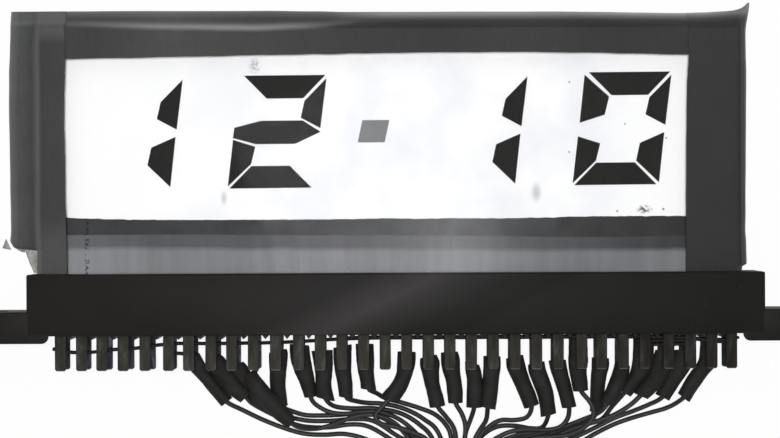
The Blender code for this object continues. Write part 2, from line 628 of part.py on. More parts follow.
def make_tapes(parts, finish):
    """Tape over the top edge of the cell, then down each side and over its ends."""
    top = [
        [(x, GLASS_TOP + out, z) for out, z in tape_section(WINDOW_TOP, TOP_FLANGE, 0)]
        for x in (GLASS_LEFT, GLASS_RIGHT)
    ]
    make_tape("tape_top", top, finish, parts)
    step = FIT + TAPE
    ramp = GLASS_TOP - WINDOW_TOP - FIT - OVERLAP_RAMP
    end = GLASS_TOP + TOP_FLANGE
    for name, side, edge, cover, flange, shoulder, ear in (
        ("tape_left", -1, GLASS_LEFT, WINDOW_LEFT, LEFT_FLANGE, LEFT_SHOULDER, (0, 0)),
        ("tape_right", 1, GLASS_RIGHT, WINDOW_RIGHT, RIGHT_FLANGE, RIGHT_SHOULDER, DOG_EAR),
    ):
        stations = (
            (HALF_HEIGHT + TAPE_FOOT, 0, NARROW_FLANGE),
            (HALF_HEIGHT + shoulder - SHOULDER_DROP, 0, NARROW_FLANGE),
            (HALF_HEIGHT + shoulder, 0, flange),
            (ramp, 0, flange),
            (ramp + OVERLAP_RAMP, step, flange),
            (GLASS_TOP + FIT, step, flange),
            (end, step, flange),
        )
        sections = [
            [(edge + side * out, y, z) for out, z in tape_section(cover, reach, lift)]
            for y, lift, reach in stations
        ]
        for i in (2, 3, 4):
            x, y, z = sections[-1][i]
            sections[-1][i] = (x + side * ear[0], y + ear[1], z)
        make_tape(name, sections, finish, parts)


def sleeve_line(contact):
    """The middle of a sleeve: along the tail, past its tip, and bent to the sleeve's end."""
    end = Vector(LEADS[contact][0]) * MM
    x = contact_x(contact)
    start = Vector((x, TAIL_TIP + SLEEVE_GRIP, BACK_ROW))
    neck = Vector((x, TAIL_TIP - SLEEVE_NECK, BACK_ROW))
    bend = neck + Vector((0, -1.6 * MM, (end.z - neck.z) / 2))
    curve = [(1 - t) ** 2 * neck + 2 * t * (1 - t) * bend + t**2 * end for t in (0.5, 1)]
    return [start, neck, *curve]


def make_sleeve(contact, finish, parts):
    """A sleeve shrunk flat over a tail, and round past it where the lead comes out."""
    line = sleeve_line(contact)
    shapes = [SLEEVE_FLAT, SLEEVE_FLAT, *[(SLEEVE_RADIUS, SLEEVE_RADIUS)] * (len(line) - 2)]
    outer = [ring(line, i, *shape, SLEEVE_SIDES) for i, shape in enumerate(shapes)]
    inner = [
        ring(line, i, a - SLEEVE_WALL, b - SLEEVE_WALL, SLEEVE_SIDES)
        for i, (a, b) in enumerate(shapes)
    ]
    add(f"sleeve_{contact:02d}", loft([*outer, *reversed(inner)], True), finish, parts)


def loom_place(contact, spread, rise):
    """Where a lead lies across the tied leads, and how far from their middle it is, in mm."""
    for layer, row in enumerate(LOOM_ROWS):
        if contact in row:
            across = (row.index(contact) - (len(row) - 1) / 2) * LOOM_SPACING * spread
            up = (layer - (len(LOOM_ROWS) - 1) / 2) * LOOM_SPACING * math.sqrt(0.75) * rise
            return Vector((across, 0, up))
    raise ValueError(f"contact {contact} has no place in the loom")


def lead_line(contact):
    """A lead's middle in mm: from its tail's tip, through its sleeve, and on to the loom."""
    tip = Vector((contact_x(contact), TAIL_TIP - LEAD_TIP_GAP, BACK_ROW)) / MM
    sleeve = [p / MM for p in sleeve_line(contact)[2:]]
    gather = [
        Vector(LOOM_START) + Vector((0, back, 0)) + loom_place(contact, spread, rise)
        for back, spread, rise in ((5.0, 1.5, 1.2), (1.5, 1.05, 1.03), (0, 1, 1))
    ]
    return smooth([tip, *sleeve, *LEADS[contact][1], *gather], LEAD_STEP)


def make_lead(contact, finish, parts):
    curve = bpy.data.curves.new(f"lead_{contact:02d}", "CURVE")
    wire(curve, [p * MM for p in lead_line(contact)], LEAD_DIAMETER)
    curve.materials.append(finish)
    parts.objects.link(bpy.data.objects.new(curve.name, curve))


def make_loom(parts, lead_finish, tie_finish, tools):
    """The rest of the leads as one oval bundle, and the tie round it."""
    start = Vector(LOOM_START) + Vector((0, -FIT / MM, 0))
    line = [p * MM for p in smooth([start, *LOOM_ROUTE], LOOM_STEP)]
    rings = [ring(line, i, *LOOM_HALF, LOOM_SIDES) for i in range(len(line))]
    add("loom", loft(rings, False), lead_finish, parts)
    start, after = Vector(LOOM_START) * MM, Vector(LOOM_ROUTE[0]) * MM
    middle = start.lerp(after, TIE_PLACE)
    along = (after - start).normalized() * TIE_BAND / 2
    ends = [middle - along, middle + along]
    inner = [ring(ends, i, *(size + FIT for size in LOOM_HALF), LOOM_SIDES) for i in (0, 1)]
    outer = [
        ring(ends, i, *(size + FIT + TIE_WALL for size in LOOM_HALF), LOOM_SIDES) for i in (0, 1)
    ]
    tie = add("loom_tie", loft([*outer, *reversed(inner)], True), tie_finish, parts)
    bm = bmesh.new()
    foot = middle + Vector((0, 0, LOOM_HALF[1] + FIT + TIE_WALL - TIE_HEAD_SINK))
    half = Vector(TIE_HEAD) / 2
    add_box(
        bm,
        (foot.x - half.x, foot.y - half.y, foot.z),
        (foot.x + half.x, foot.y + half.y, foot.z + TIE_HEAD[2]),
    )
    combine(tie, add("tie_head", bm, None, tools), "UNION")


def main():
    for obj in list(bpy.data.objects):
        bpy.data.objects.remove(obj)
    parts = bpy.data.collections.new("liquid_crystal_display")
    tools = bpy.data.collections.new("cutters")
    for collection in (parts, tools):
        bpy.context.scene.collection.children.link(collection)
    glass = material("soda_lime_glass", (0.80, 0.84, 0.83), 0.05, alpha=0.3)
    film = material("polarising_film", (0.30, 0.31, 0.32), 0.35, alpha=0.4)
    diffuser = material("white_diffuser", (0.85, 0.85, 0.83), 0.6)
    tape = material("binding_tape", (0.035, 0.034, 0.033), 0.45)
    moulding = material("phenolic_moulding", (0.018, 0.016, 0.014), 0.5)
    make_housing(parts, tools, moulding)
    make_plates(parts, glass)
    make_seal(parts, tools, material("epoxy_seal", (0.06, 0.06, 0.06), 0.6))
    make_liquid_crystal(parts, tools, material("liquid_crystal", (0.75, 0.76, 0.74), 0.3))
    make_films(parts, film, diffuser)
    make_tapes(parts, tape)
    sleeve = material("shrink_sleeve", (0.02, 0.02, 0.02), 0.5)
    insulation = material("pvc_insulation", (0.04, 0.04, 0.042), 0.4)
    for contact in LEADS:
        make_sleeve(contact, sleeve, parts)
        make_lead(contact, insulation, parts)
    make_loom(parts, insulation, material("nylon_tie", (0.03, 0.03, 0.03), 0.5), tools)


main()
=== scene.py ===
import math
from bisect import bisect_left
from itertools import accumulate

import bmesh
import bpy
from mathutils import Matrix, Vector, noise


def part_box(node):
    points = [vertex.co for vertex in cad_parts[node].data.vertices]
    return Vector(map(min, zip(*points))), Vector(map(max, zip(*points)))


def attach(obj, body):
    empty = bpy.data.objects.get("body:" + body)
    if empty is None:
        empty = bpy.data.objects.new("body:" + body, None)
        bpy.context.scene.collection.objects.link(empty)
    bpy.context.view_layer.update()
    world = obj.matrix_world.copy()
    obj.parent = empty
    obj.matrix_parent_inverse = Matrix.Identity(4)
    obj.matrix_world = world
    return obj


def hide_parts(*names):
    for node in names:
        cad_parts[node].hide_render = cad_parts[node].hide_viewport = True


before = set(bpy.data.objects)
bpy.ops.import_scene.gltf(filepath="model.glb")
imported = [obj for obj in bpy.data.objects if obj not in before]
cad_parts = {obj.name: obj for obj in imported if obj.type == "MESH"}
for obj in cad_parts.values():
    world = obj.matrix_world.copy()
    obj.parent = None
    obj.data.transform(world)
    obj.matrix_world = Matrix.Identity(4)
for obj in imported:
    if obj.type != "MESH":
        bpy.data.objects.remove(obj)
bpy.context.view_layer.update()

bl_info = {
    "name": "Liquid crystal display",
    "version": (1, 0, 0),
    "blender": (4, 5, 0),
    "location": "3D View > Sidebar > Display",
    "description": "A taped display cell in a card-edge connector, with its soldered leads",
    "category": "Add Mesh",
}

MM = 0.001
BODY = "root"
noise.seed_set(1)  # the clock seeds noise_vector otherwise, and no two runs are the same

# How a Mix node lays one colour over another
MIX = {"data_type": "RGBA", "blend_type": "MIX"}
ADD = {**MIX, "blend_type": "ADD"}
MULTIPLY = {**MIX, "blend_type": "MULTIPLY"}

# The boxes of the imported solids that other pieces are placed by
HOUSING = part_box("connector_housing")
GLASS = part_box("front_glass")
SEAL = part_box("cell_seal")
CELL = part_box("liquid_crystal")

# The connector's layout, in metres
CONTACTS = 32
PITCH = 3.9624 * MM
HOUSING_TOP = 5.6 * MM
HOUSING_FOOT = -5.6 * MM
HOUSING_HALF = 67.02 * MM
HOUSING_DEPTH = 9.4 * MM
TAIL_TIP = -12.05 * MM
TAIL_THICKNESS = 0.4 * MM
FRONT_ROW = 6.7 * MM
BACK_ROW = 2.7 * MM
# The solid that the moulding, the tails and the bus wires stand for
CONNECTOR = "connector_housing"

# The stage: the camera looks straight down from its place on to a wide floor
LENS, SENSOR = 75.65, 36.0  # mm
CAMERA = (-0.98 * MM, 15.44 * MM, 306.7 * MM)
CAMERA_ROLL = math.radians(-0.27)
CLIP = (0.01, 20.0)
FLOOR_HALF = 1.6
FLOOR_DROP = 0.02 * MM
FILL_LIGHT = 0.2  # the world's strength on the pieces
PAPER_GLOW = 0.88  # the floor's share of plain white; the rest keeps its shadow
LAMPS = {  # place, width and power
    "overhead_softbox": ((-0.01, 0.03, 0.56), 0.12, 2.5),
    "rear_softbox": ((-0.6, 1.5, 0.9), 1.0, 3.0),
}

# Each lead's route from the end of its sleeve to the loom, in mm
LEADS = {
    7: [(-28.6, -20.1, 0.8), (-25, -21.9, 0.5), (-20.7, -23.6, 0.5), (-17, -24.6, 0.5),
        (-13.3, -24.8, 0.5), (-9.5, -24.7, 0.5), (-5.1, -25.9, 0.6), (0.5, -29, 1.2),
        (5.5, -32, 2.4)],
    8: [(-26.6, -18.9, 1.6), (-22.6, -21.2, 0.6), (-18.7, -22.9, 0.5), (-15.7, -23.4, 0.5),
        (-12.3, -23.4, 0.5), (-8.6, -22.9, 0.5), (-5.2, -23.3, 0.5), (-1.2, -25.6, 0.6),
        (3.5, -28.8, 1)],
    9: [(-22.3, -20.9, 0.8), (-19, -21.7, 0.5), (-16.1, -22.2, 0.5), (-12, -22.2, 0.5),
        (-8, -21.9, 0.5), (-4.2, -22.3, 0.5), (0, -24.9, 1), (4.5, -27.6, 2.6)],
    10: [(-17.2, -23.2, 3.6), (-14.5, -23.4, 2.2), (-12, -22.8, 2), (-9.5, -21.8, 2.4),
        (-6.7, -21, 2.6), (-4.1, -20.9, 2.6), (-1.9, -21.5, 2.6), (0.3, -22.9, 2.6),
        (2, -24.8, 3.4), (5, -27.6, 4.7)],
    11: [(-19.8, -20.2, 0.8), (-17, -21.1, 0.5), (-13.8, -21.2, 0.5), (-10.8, -21.1, 0.5),
        (-7.5, -20.9, 0.5), (-3.5, -21.3, 0.5), (0.5, -23.6, 0.5), (4, -26, 0.5)],
    12: [(-15, -19, 1.5), (-12.5, -20.4, 1.5), (-9.5, -20.8, 1.5), (-6, -20.4, 1.5),
        (-2.5, -20.6, 1.5), (0.8, -22, 1.5), (3.7, -24.4, 1.9), (6.4, -27.4, 2.7)],
    13: [(-11.6, -19.4, 0.9), (-8.6, -19.9, 0.5), (-4.5, -19.9, 0.5), (-0.8, -20.4, 0.5),
        (1.8, -21.3, 0.5), (4.4, -23, 0.7), (6.8, -25.6, 1.5)],
    14: [(-7.3, -18.5, 1.2), (-5.2, -18.9, 0.5), (-3, -19, 0.5), (-0.6, -19.4, 0.5),
        (2.2, -20.3, 0.5), (5.2, -22, 0.5), (8, -24.8, 0.5)],
    15: [(-3.6, -17, 1.3), (-2, -18, 0.6), (1.2, -18.9, 0.5), (4.4, -19.9, 0.6),
        (7.2, -21, 1.2), (9.2, -22.8, 2.2), (10.2, -25.4, 2.8)],
    17: [(-2.9, -19.6, 3.6), (-3.9, -21, 3.7), (-2.8, -22.4, 3.8), (-0.4, -22.9, 3.9),
        (3, -24, 3.9), (6.4, -26.2, 3.9)],
    18: [(9.2, -21.2, 3.2), (10.6, -23.2, 4.2), (11, -26, 4.9)],
    19: [(12.2, -20.8, 3.2), (12.8, -23.2, 3.7), (12.4, -27, 3.9)],
    20: [(13.9, -21.8, 1.5), (13, -24.2, 1.5), (12.3, -27.6, 1.8)],
    21: [(16.6, -21.8, 3.8), (15.2, -23.8, 4.8), (14, -26.4, 5)],
    22: [(24.3, -21.4, 2.6), (22, -22, 2.4), (19.4, -22, 2.5), (17.2, -23.2, 2.6),
        (15, -25.8, 2.7)],
    23: [(27.3, -23.5, 1), (25.2, -23.8, 0.5), (22.1, -23.3, 0.5), (19, -23.4, 0.5),
        (16.4, -24.8, 0.5), (14.4, -27.4, 0.6)],
    24: [(31.7, -21.6, 3.6), (30.2, -23.2, 3.7), (27.6, -23.7, 3.7), (23.6, -23.6, 3.7),
        (20, -24.4, 3.7), (16.4, -27, 3.9)],
    25: [(35.6, -18.3, 4.8), (36.3, -19.8, 4.9), (36, -21.6, 4.9), (34.2, -23.4, 4.9),
        (31, -24.6, 4.9), (26, -25, 4.8), (21, -25.8, 4.9), (16.8, -28, 5)],
    26: [(36, -22.2, 1.6), (32.4, -23.4, 1.7), (28, -24.2, 1.8), (23, -24.8, 1.6),
        (18.8, -26.4, 1.6), (15.6, -29.2, 1.9)],
    27: [(37.3, -20.6, 3.8), (34.6, -21.9, 2.8), (30.6, -23.4, 2.8), (26, -24.6, 2.7),
        (21.6, -25.6, 2.7), (17.4, -28, 2.8)],
    28: [(40.2, -19.8, 1), (38.3, -22.2, 0.5), (35, -23.2, 0.5), (30, -24.6, 0.5),
        (24.6, -25.6, 0.5), (20, -27.2, 0.5), (16.6, -29.8, 0.7)],
    29: [(43.2, -19.2, 3.7), (40.4, -20.9, 3.7), (36.8, -22.2, 3.7), (33, -23.4, 3.7),
        (28, -25.4, 3.7), (22.6, -27.4, 3.8), (18.2, -30, 3.9)],
    30: [(46.9, -19.4, 1.5), (43.9, -20.6, 1.5), (40.7, -21.8, 1.5), (37.4, -23.4, 1.5),
        (33.6, -25.2, 1.5), (28.8, -27, 1.5), (23.6, -28.8, 1.6), (18.6, -31.4, 1.9)],
    31: [(50.8, -19.9, 0.9), (47.3, -21, 0.5), (44.1, -21.9, 0.5), (40.7, -23.1, 0.5),
        (37.4, -24.7, 0.5), (34, -26.6, 0.6), (28, -29.2, 1.4), (21.6, -32, 2.6)],
}
# Each sleeve, in mm: the height of its end and, from its rim on the tail to there, its middle and
# the way from that to its right edge
SLEEVES = {
    7: (1.5, [(-37.7, -9.6, 1.25, 0.37), (-37, -11.6, 1.67, 0.27), (-36.4, -12.6, 1.58, 0.13),
        (-35.2, -13.9, 1.16, 0.6), (-33.4, -16.1, 1.21, 0.65), (-31.5, -18.5, 1.03, 0.79)]),
    8: (3.2, [(-33.8, -10, 1.16, 0.6), (-33.2, -11.4, 1.58, 1.06), (-31.8, -13.2, 1.3, 1.01),
        (-29.8, -15.7, 1.09, 1.23), (-27.8, -17.4, 0.98, 1.03)]),
    9: (1.7, [(-29.6, -11.3, 1.35, 0.41), (-29.1, -12.5, 1.63, 0.69), (-28, -14.4, 1.35, 1.01),
        (-26, -17.3, 1.12, 1.02), (-23.5, -19.3, 0.98, 1.16)]),
    10: (5.2, [(-27.3, -13, 1.16, 0.78), (-26.6, -14.3, 1.3, 0.85), (-24.5, -16.9, 1.23, 1.13),
        (-21.9, -19.5, 1.07, 1.29), (-19.2, -22.1, 0.77, 0.92)]),
    11: (1.4, [(-21.9, -8.9, 1.62, 0.36), (-21.8, -10.1, 1.79, 0.55),
        (-21.9, -12.8, 1.57, -0.01), (-22, -15.3, 1.49, -0.01), (-21.8, -17.4, 1.47, -0.01),
        (-21.6, -19.3, 1.44, 0.16)]),
    12: (2.2, [(-17.9, -7.8, 1.81, -0.15), (-17.7, -10.3, 1.9, -0.01),
        (-17.1, -12.8, 1.72, 0.08), (-16.5, -14.7, 1.44, 0.18), (-15.9, -17.5, 1.16, 0.12)]),
    13: (2.2, [(-13.7, -8.9, 1.99, 0.1), (-13.5, -11, 1.83, -0.01), (-13.4, -13.5, 1.58, 0.09),
        (-13.5, -15.7, 1.53, 0.18), (-13.1, -17.9, 1.73, -0.38)]),
    14: (2.4, [(-9.9, -8.1, 1.72, 0.32), (-9.9, -10.7, 1.67, -0.01), (-9.8, -12.9, 1.53, -0.01),
        (-9.5, -15, 1.44, -0.1), (-9.3, -17.6, 1.3, -0.15)]),
    15: (2.6, [(-5.8, -7.7, 1.67, -0.01), (-5.7, -10.3, 1.67, -0.01),
        (-5.6, -12.7, 1.53, -0.19), (-5.3, -14.6, 1.39, -0.01), (-5.1, -16.1, 1.44, -0.15)]),
    17: (3.4, [(2, -9.2, 1.7, -0.08), (1.9, -11.4, 1.72, 0.08), (1.5, -13.4, 1.53, -0.1),
        (0.5, -15.6, 1.46, -0.56), (-1.2, -17.8, 1.52, -0.75)]),
    18: (2.4, [(6, -10.1, 1.55, 0.34), (6.3, -11.5, 1.81, 0.36), (6.4, -13.1, 1.6, 0.09),
        (6.7, -15.2, 1.44, -0.01), (7.3, -17.5, 1.48, -0.01), (7.7, -19.4, 1.44, 0.23)]),
    19: (2.6, [(9.9, -9.3, 1.58, 0.09), (10.1, -10.9, 1.75, 0.46), (10.3, -12.9, 1.62, 0.09),
        (10.7, -14.7, 1.47, -0.01), (10.9, -16.6, 1.47, 0.09), (11, -18.7, 1.35, 0.04)]),
    20: (2.2, [(14.1, -11.4, 1.32, -0.28), (14.3, -12.6, 1.46, -0.01),
        (14.6, -14.5, 1.48, -0.01), (14.6, -17.1, 1.53, -0.01), (14.5, -19.6, 1.49, -0.01)]),
    21: (2.4, [(17.8, -10.1, 1.62, -0.05), (17.8, -12.2, 1.62, 0.09), (17.6, -14.2, 1.55, 0.09),
        (17.4, -16.9, 1.5, -0.01), (17, -19.7, 1.47, -0.33)]),
    22: (3.2, [(22, -10.2, 1.58, 0.38), (22.2, -11.7, 1.76, 0.22), (22.6, -13, 1.67, 0.27),
        (23.5, -15.2, 1.44, 0.46), (24.3, -17.1, 1.42, 0.5), (25.1, -19.3, 1.39, 0.46)]),
    23: (2, [(26, -11.4, 1.53, 0.32), (26.2, -12.8, 1.64, 0.22), (27, -15, 1.58, 0.32),
        (27.7, -17.1, 1.51, 0.27), (28.1, -19.3, 1.44, 0.13), (28.3, -21.1, 1.46, 0.36)]),
    24: (2.6, [(29.9, -10.9, 1.62, 0.09), (30.1, -12.1, 1.6, 0.09), (30.6, -14, 1.48, 0.18),
        (31.2, -16, 1.42, 0.13), (31.7, -17.9, 1.37, 0.06), (32.1, -19.6, 1.37, 0.15)]),
    25: (4, [(33.8, -6.8, 1.73, -0.01), (33.8, -9.2, 1.78, -0.19), (33.8, -11.2, 1.85, -0.1),
        (33.7, -12.7, 1.65, -0.01), (33.9, -14.6, 1.53, 0.09), (34.1, -16.4, 1.39, 0.13)]),
    26: (1.7, [(37.9, -10.5, 1.62, -0.1), (37.9, -12.2, 1.65, 0.18), (37.6, -14.2, 1.49, 0.22),
        (37.4, -17.1, 1.35, -0.01), (37.3, -20.6, 1.3, -0.1)]),
    27: (4.5, [(42, -11.7, 1.41, -0.33), (41.6, -13.4, 1.53, -0.29), (40.7, -15.4, 1.43, -0.38),
        (39.8, -17.2, 1.34, -0.51), (38.9, -18.9, 1.33, -0.51)]),
    28: (2, [(45.9, -6.9, 1.9, -0.01), (45.9, -9.5, 1.97, -0.1), (45.7, -11.8, 1.95, -0.15),
        (44.9, -14, 1.67, -0.43), (43.5, -15.7, 1.39, -0.56), (42.4, -17.1, 1.21, -0.7)]),
    29: (4.1, [(49.8, -9.1, 1.72, -0.01), (49.5, -11.1, 1.95, -0.19),
        (48.4, -13.7, 1.85, -0.38), (46.7, -15.8, 1.55, -0.7), (45.1, -17.4, 1.31, -0.63)]),
    30: (2.4, [(53.5, -9.1, 1.85, -0.01), (53.2, -11.2, 1.95, -0.19),
        (52.4, -12.9, 1.85, -0.24), (50.8, -15.4, 1.58, -0.47), (49.4, -17.9, 1.3, -0.63)]),
    31: (2.2, [(58, -8.3, 1.6, 0.09), (57.9, -10.6, 1.74, -0.01), (57.4, -12.1, 1.85, -0.06),
        (56.2, -13.5, 1.65, -0.24), (54.5, -16.1, 1.22, -0.72), (53.4, -18, 1.07, -0.84)]),
}
SLEEVE_DIAMETER = 2.9 * MM  # what the widths in SLEEVES stand for
SLEEVE_WALL = 0.28 * MM
SLEEVE_SLOPE = 3.2  # mm past the tail's tip, over which a sleeve goes from flat to round
SLEEVE_HALF, SLEEVE_FLATTER = 1.3, 0.37  # mm: half its height, and how much less over the tail
# The loom: the leads of each layer from the lowest up, and its middle line, in mm
LOOM_ROWS = (
    (11, 14, 23, 28), (8, 13, 20, 26, 30), (7, 12, 15, 22, 27, 31), (9, 17, 19, 24, 29),
    (10, 18, 21, 25),
)
LOOM_SPACING = 0.95
LOOM_START = (11.5, -38.5, 3.6)
LEAD_STEP, LOOM_STEP = 0.75, 3.0  # mm between the points of a lead and of the loom
# A bare end's strands, their twist in radians per mm, its radius as a share of the lead's
# diameter, and how deep the grooves between the strands are as a share of that
STRANDS, STRAND_TWIST, CONDUCTOR, GROOVE = 7, 1.3, 0.31, 0.16
LOOM_ROUTE = [(11.5, -44.0, 3.4), (13.4, -50.2, 2.6), (18.8, -54.8, 2.3), (26.0, -56.6, 2.3),
    (36.0, -56.2, 2.3), (48.0, -55.4, 2.3), (60.0, -56.0, 2.3), (72.0, -56.4, 2.3)]


def contact_x(contact):
    """The middle of a contact, counted from 1 at the left."""
    return (contact - (CONTACTS + 1) / 2) * PITCH


def smooth(points, step):
    """Points evenly spaced, about a step apart, along a smooth curve through the given points."""
    p = [Vector(q) for q in points]
    p = [2 * p[0] - p[1], *p, 2 * p[-1] - p[-2]]
    fine = []
    for before, start, end, after in zip(p, p[1:], p[2:], p[3:]):
        leave, arrive = (end - before) / 2, (after - start) / 2
        for i in range(40):
            t = i / 40
            fine.append(
                (2 * t**3 - 3 * t**2 + 1) * start
                + (t**3 - 2 * t**2 + t) * leave
                + (3 * t**2 - 2 * t**3) * end
                + (t**3 - t**2) * arrive
            )
    fine.append(p[-2])
    runs = [0.0, *accumulate((b - a).length for a, b in zip(fine, fine[1:]))]
    count = max(1, round(runs[-1] / step))
    marks = [bisect_left(runs, runs[-1] * i / count - 1e-9) for i in range(count + 1)]
    return [fine[min(mark, len(fine) - 1)] for mark in marks]


def length_of(line):
    """How long a line of points is."""
    return sum((b - a).length for a, b in zip(line, line[1:]))


def between(table, place):
    """The value at a place, read smoothly from a table of (place, value) in millimetres."""
    place /= MM
    if place <= table[0][0]:
        return table[0][1] * MM
    for (low, first), (high, last) in zip(table, table[1:]):
        if place <= high:
            return (first + (last - first) * ease(place, low, high)) * MM
    return table[-1][1] * MM


def ease(value, low, high):
    """0 to 1 between two values, slow at both ends."""
    t = min(max((value - low) / (high - low), 0.0), 1.0)
    return t * t * (3 - 2 * t)


def rgba(code):
    """An sRGB hex colour, or a grey's two digits, as linear red, green, blue and alpha."""
    code = code[1:] * 3 if len(code) == 3 else code[1:]
    values = [int(code[i : i + 2], 16) / 255 for i in (0, 2, 4)]
    return (*[v / 12.92 if v <= 0.04045 else ((v + 0.055) / 1.055) ** 2.4 for v in values], 1.0)


def add_node(tree, kind, sockets=None, stops=None, **settings):
    """Adds a node: its settings, its sockets' values or the nodes that feed them, and the
    stops of a colour ramp as {place: hex colour}.
    """
    node = tree.nodes.new("ShaderNode" + kind)
    for name, value in settings.items():
        setattr(node, name, value)
    if stops:
        elements = node.color_ramp.elements
        for _ in range(len(stops) - 2):
            elements.new(0.5)
        for (place, code), element in zip(stops.items(), elements):
            element.position, element.color = place, rgba(code)
    for name, value in (sockets or {}).items():
        if isinstance(value, bpy.types.Node):
            value = next(socket for socket in value.outputs if socket.enabled)
        if isinstance(value, bpy.types.NodeSocket):
            tree.links.new(value, node.inputs[name])
        else:
            node.inputs[name].default_value = value
    return node


def start_material(name):
    """A material with an empty tree."""
    material = bpy.data.materials.new(name)
    material.use_nodes = True
    material.node_tree.nodes.clear()
    return material, material.node_tree


def surface(material, colour, roughness, specular=0.5, dents=None, metallic=0.0, alpha=1.0):
    """Ends a material with its Principled shader. Its fine relief, dents, is given as the size
    of its features in mm, their detail, its strength and its depth in mm.
    """
    tree = material.node_tree
    sockets = {"Base Color": colour, "Roughness": roughness, "Specular IOR Level": specular}
    if dents:
        size, detail, strength, depth = dents
        relief = {"Height": grain(tree, size, detail), "Strength": strength}
        sockets["Normal"] = add_node(tree, "Bump", {**relief, "Distance": depth * MM})
    sockets |= {"Metallic": metallic, "Alpha": alpha}
    shader = add_node(tree, "BsdfPrincipled", sockets)
    add_node(tree, "OutputMaterial", {"Surface": shader})
    return material


def grain(tree, size, detail=3.0, roughness=0.55, stretch=(1, 1, 1), stops=None):
    """Noise with features of about a size in mm, through a ramp where stops are given."""
    place = add_node(tree, "TexCoord").outputs["Object"]
    mapped = add_node(tree, "Mapping", {"Vector": place, "Scale": stretch})
    sockets = {"Vector": mapped, "Scale": 1 / (size * MM), "Detail": detail}
    speckle = add_node(tree, "TexNoise", {**sockets, "Roughness": roughness})
    return add_node(tree, "ValToRGB", {"Fac": speckle}, stops) if stops else speckle


def position(tree, source="Object"):
    """The X, Y and Z of a point on the piece, as sockets."""
    place = add_node(tree, "TexCoord").outputs[source]
    return add_node(tree, "SeparateXYZ", {"Vector": place}).outputs


def across(tree, axis, low, high, stops=None, source="Object"):
    """0 to 1 between two places in mm on an axis, or of a node's value, through a ramp where
    stops are given.
    """
    value = position(tree, source)[axis] if isinstance(axis, str) else axis
    sockets = {"Value": value, "From Min": low * MM, "From Max": high * MM}
    share = add_node(tree, "MapRange", sockets)
    return add_node(tree, "ValToRGB", {"Fac": share}, stops) if stops else share


def add_object(name, data):
    """A new object in the scene."""
    thing = bpy.data.objects.new(name, data)
    bpy.context.scene.collection.objects.link(thing)
    return thing


def as_mesh(name, bm):
    """A mesh from a bmesh, which is freed."""
    mesh = bpy.data.meshes.new(name)
    bm.to_mesh(mesh)
    bm.free()
    return mesh


def waver(x, y=0.0, z=0.0):
    """Smooth noise about 0, the same each time."""
    return noise.noise(Vector((x, y, z)))


def dent(verts, depth, scale):
    """Moves points by up to about a depth in mm, by noise of a scale per mm."""
    for vert in verts:
        vert.co += depth * MM * noise.noise_vector(vert.co / MM * scale)


def finish(name, bm, material, solid, sharp=35):
    """Turns a bmesh into a piece on the display's body, smooth apart from its sharp edges."""
    bmesh.ops.recalc_face_normals(bm, faces=bm.faces)
    for face in bm.faces:
        face.smooth = True
    for edge in bm.edges:
        edge.smooth = not edge.is_boundary and edge.calc_face_angle(0) < math.radians(sharp)
    piece = add_object(name, as_mesh(name, bm))
    piece.data.materials.append(material)
    settle(piece, [solid] if solid else [])
    return piece


def settle(piece, solids):
    """Says what a piece rides on and which solids it stands for, which it hides."""
    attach(piece, BODY)
    if solids:
        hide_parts(*solids)


def dress(node, material):
    """Gives a solid that stays its finished material."""
    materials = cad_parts[node].data.materials
    materials.clear()
    materials.append(material)


def block(bm, low, high):
    """A box between two corners."""
    size = [b - a for a, b in zip(low, high)]
    middle = [(a + b) / 2 for a, b in zip(low, high)]
    matrix = Matrix.Translation(middle) @ Matrix.Diagonal((*size, 1.0))
    bmesh.ops.create_cube(bm, size=1.0, matrix=matrix)


def slab(bm, outline, low, high):
    """A flat outline of (x, y) points raised from one height to another."""
    face = bm.faces.new([bm.verts.new((x, y, low)) for x, y in outline])
    raised = bmesh.ops.extrude_face_region(bm, geom=[face], use_keep_orig=True)["geom"]
    verts = [v for v in raised if isinstance(v, bmesh.types.BMVert)]
    bmesh.ops.translate(bm, verts=verts, vec=(0, 0, high - low))


def round_edges(bm, width, segments=2, angle=40):
    """Bevels the sharp edges of a bmesh."""
    sharp = math.radians(angle)
    edges = [e for e in bm.edges if len(e.link_faces) == 2 and e.calc_face_angle(0) > sharp]
    bmesh.ops.bevel(bm, geom=edges, offset=width, offset_type="OFFSET", affect="EDGES",
        segments=segments, profile=0.5, material=-1, clamp_overlap=True)


def join(bm, part, matrix=Matrix()):
    """Adds one bmesh to another, with its place, and frees it."""
    bmesh.ops.transform(part, matrix=matrix, verts=part.verts)
    bmesh.ops.recalc_face_normals(part, faces=part.faces)
    shape = as_mesh("part", part)
    bm.from_mesh(shape)
    bpy.data.meshes.remove(shape)


def rounded_block(bm, low, high, curve, segments=2):
    """Adds a box with rounded edges, between two corners."""
    part = bmesh.new()
    block(part, low, high)
    round_edges(part, curve, segments)
    join(bm, part)


def frame_at(line, index, level):
    """The turn from +Z to a line's direction at a point: level keeps the first axis level."""
    along = (line[min(index + 1, len(line) - 1)] - line[max(index - 1, 0)]).normalized()
    side = along.cross(Vector((0, 0, 1)) if level else Vector((0.3, 0.2, 1))).normalized()
    up = side.cross(along).normalized()
    return Matrix((side, up, along)).transposed().to_4x4()


def sweep(bm, line, size, sides, level=True):
    """A skin drawn along a line. size(i) gives the half width and half height at its points."""
    shapes = []
    for i, point in enumerate(line):
        turn = Matrix.Translation(point) @ frame_at(line, i, level)
        shapes.append(turn @ Matrix.Diagonal((*size(i), 1.0, 1.0)))
    loft(bm, shapes, sides)


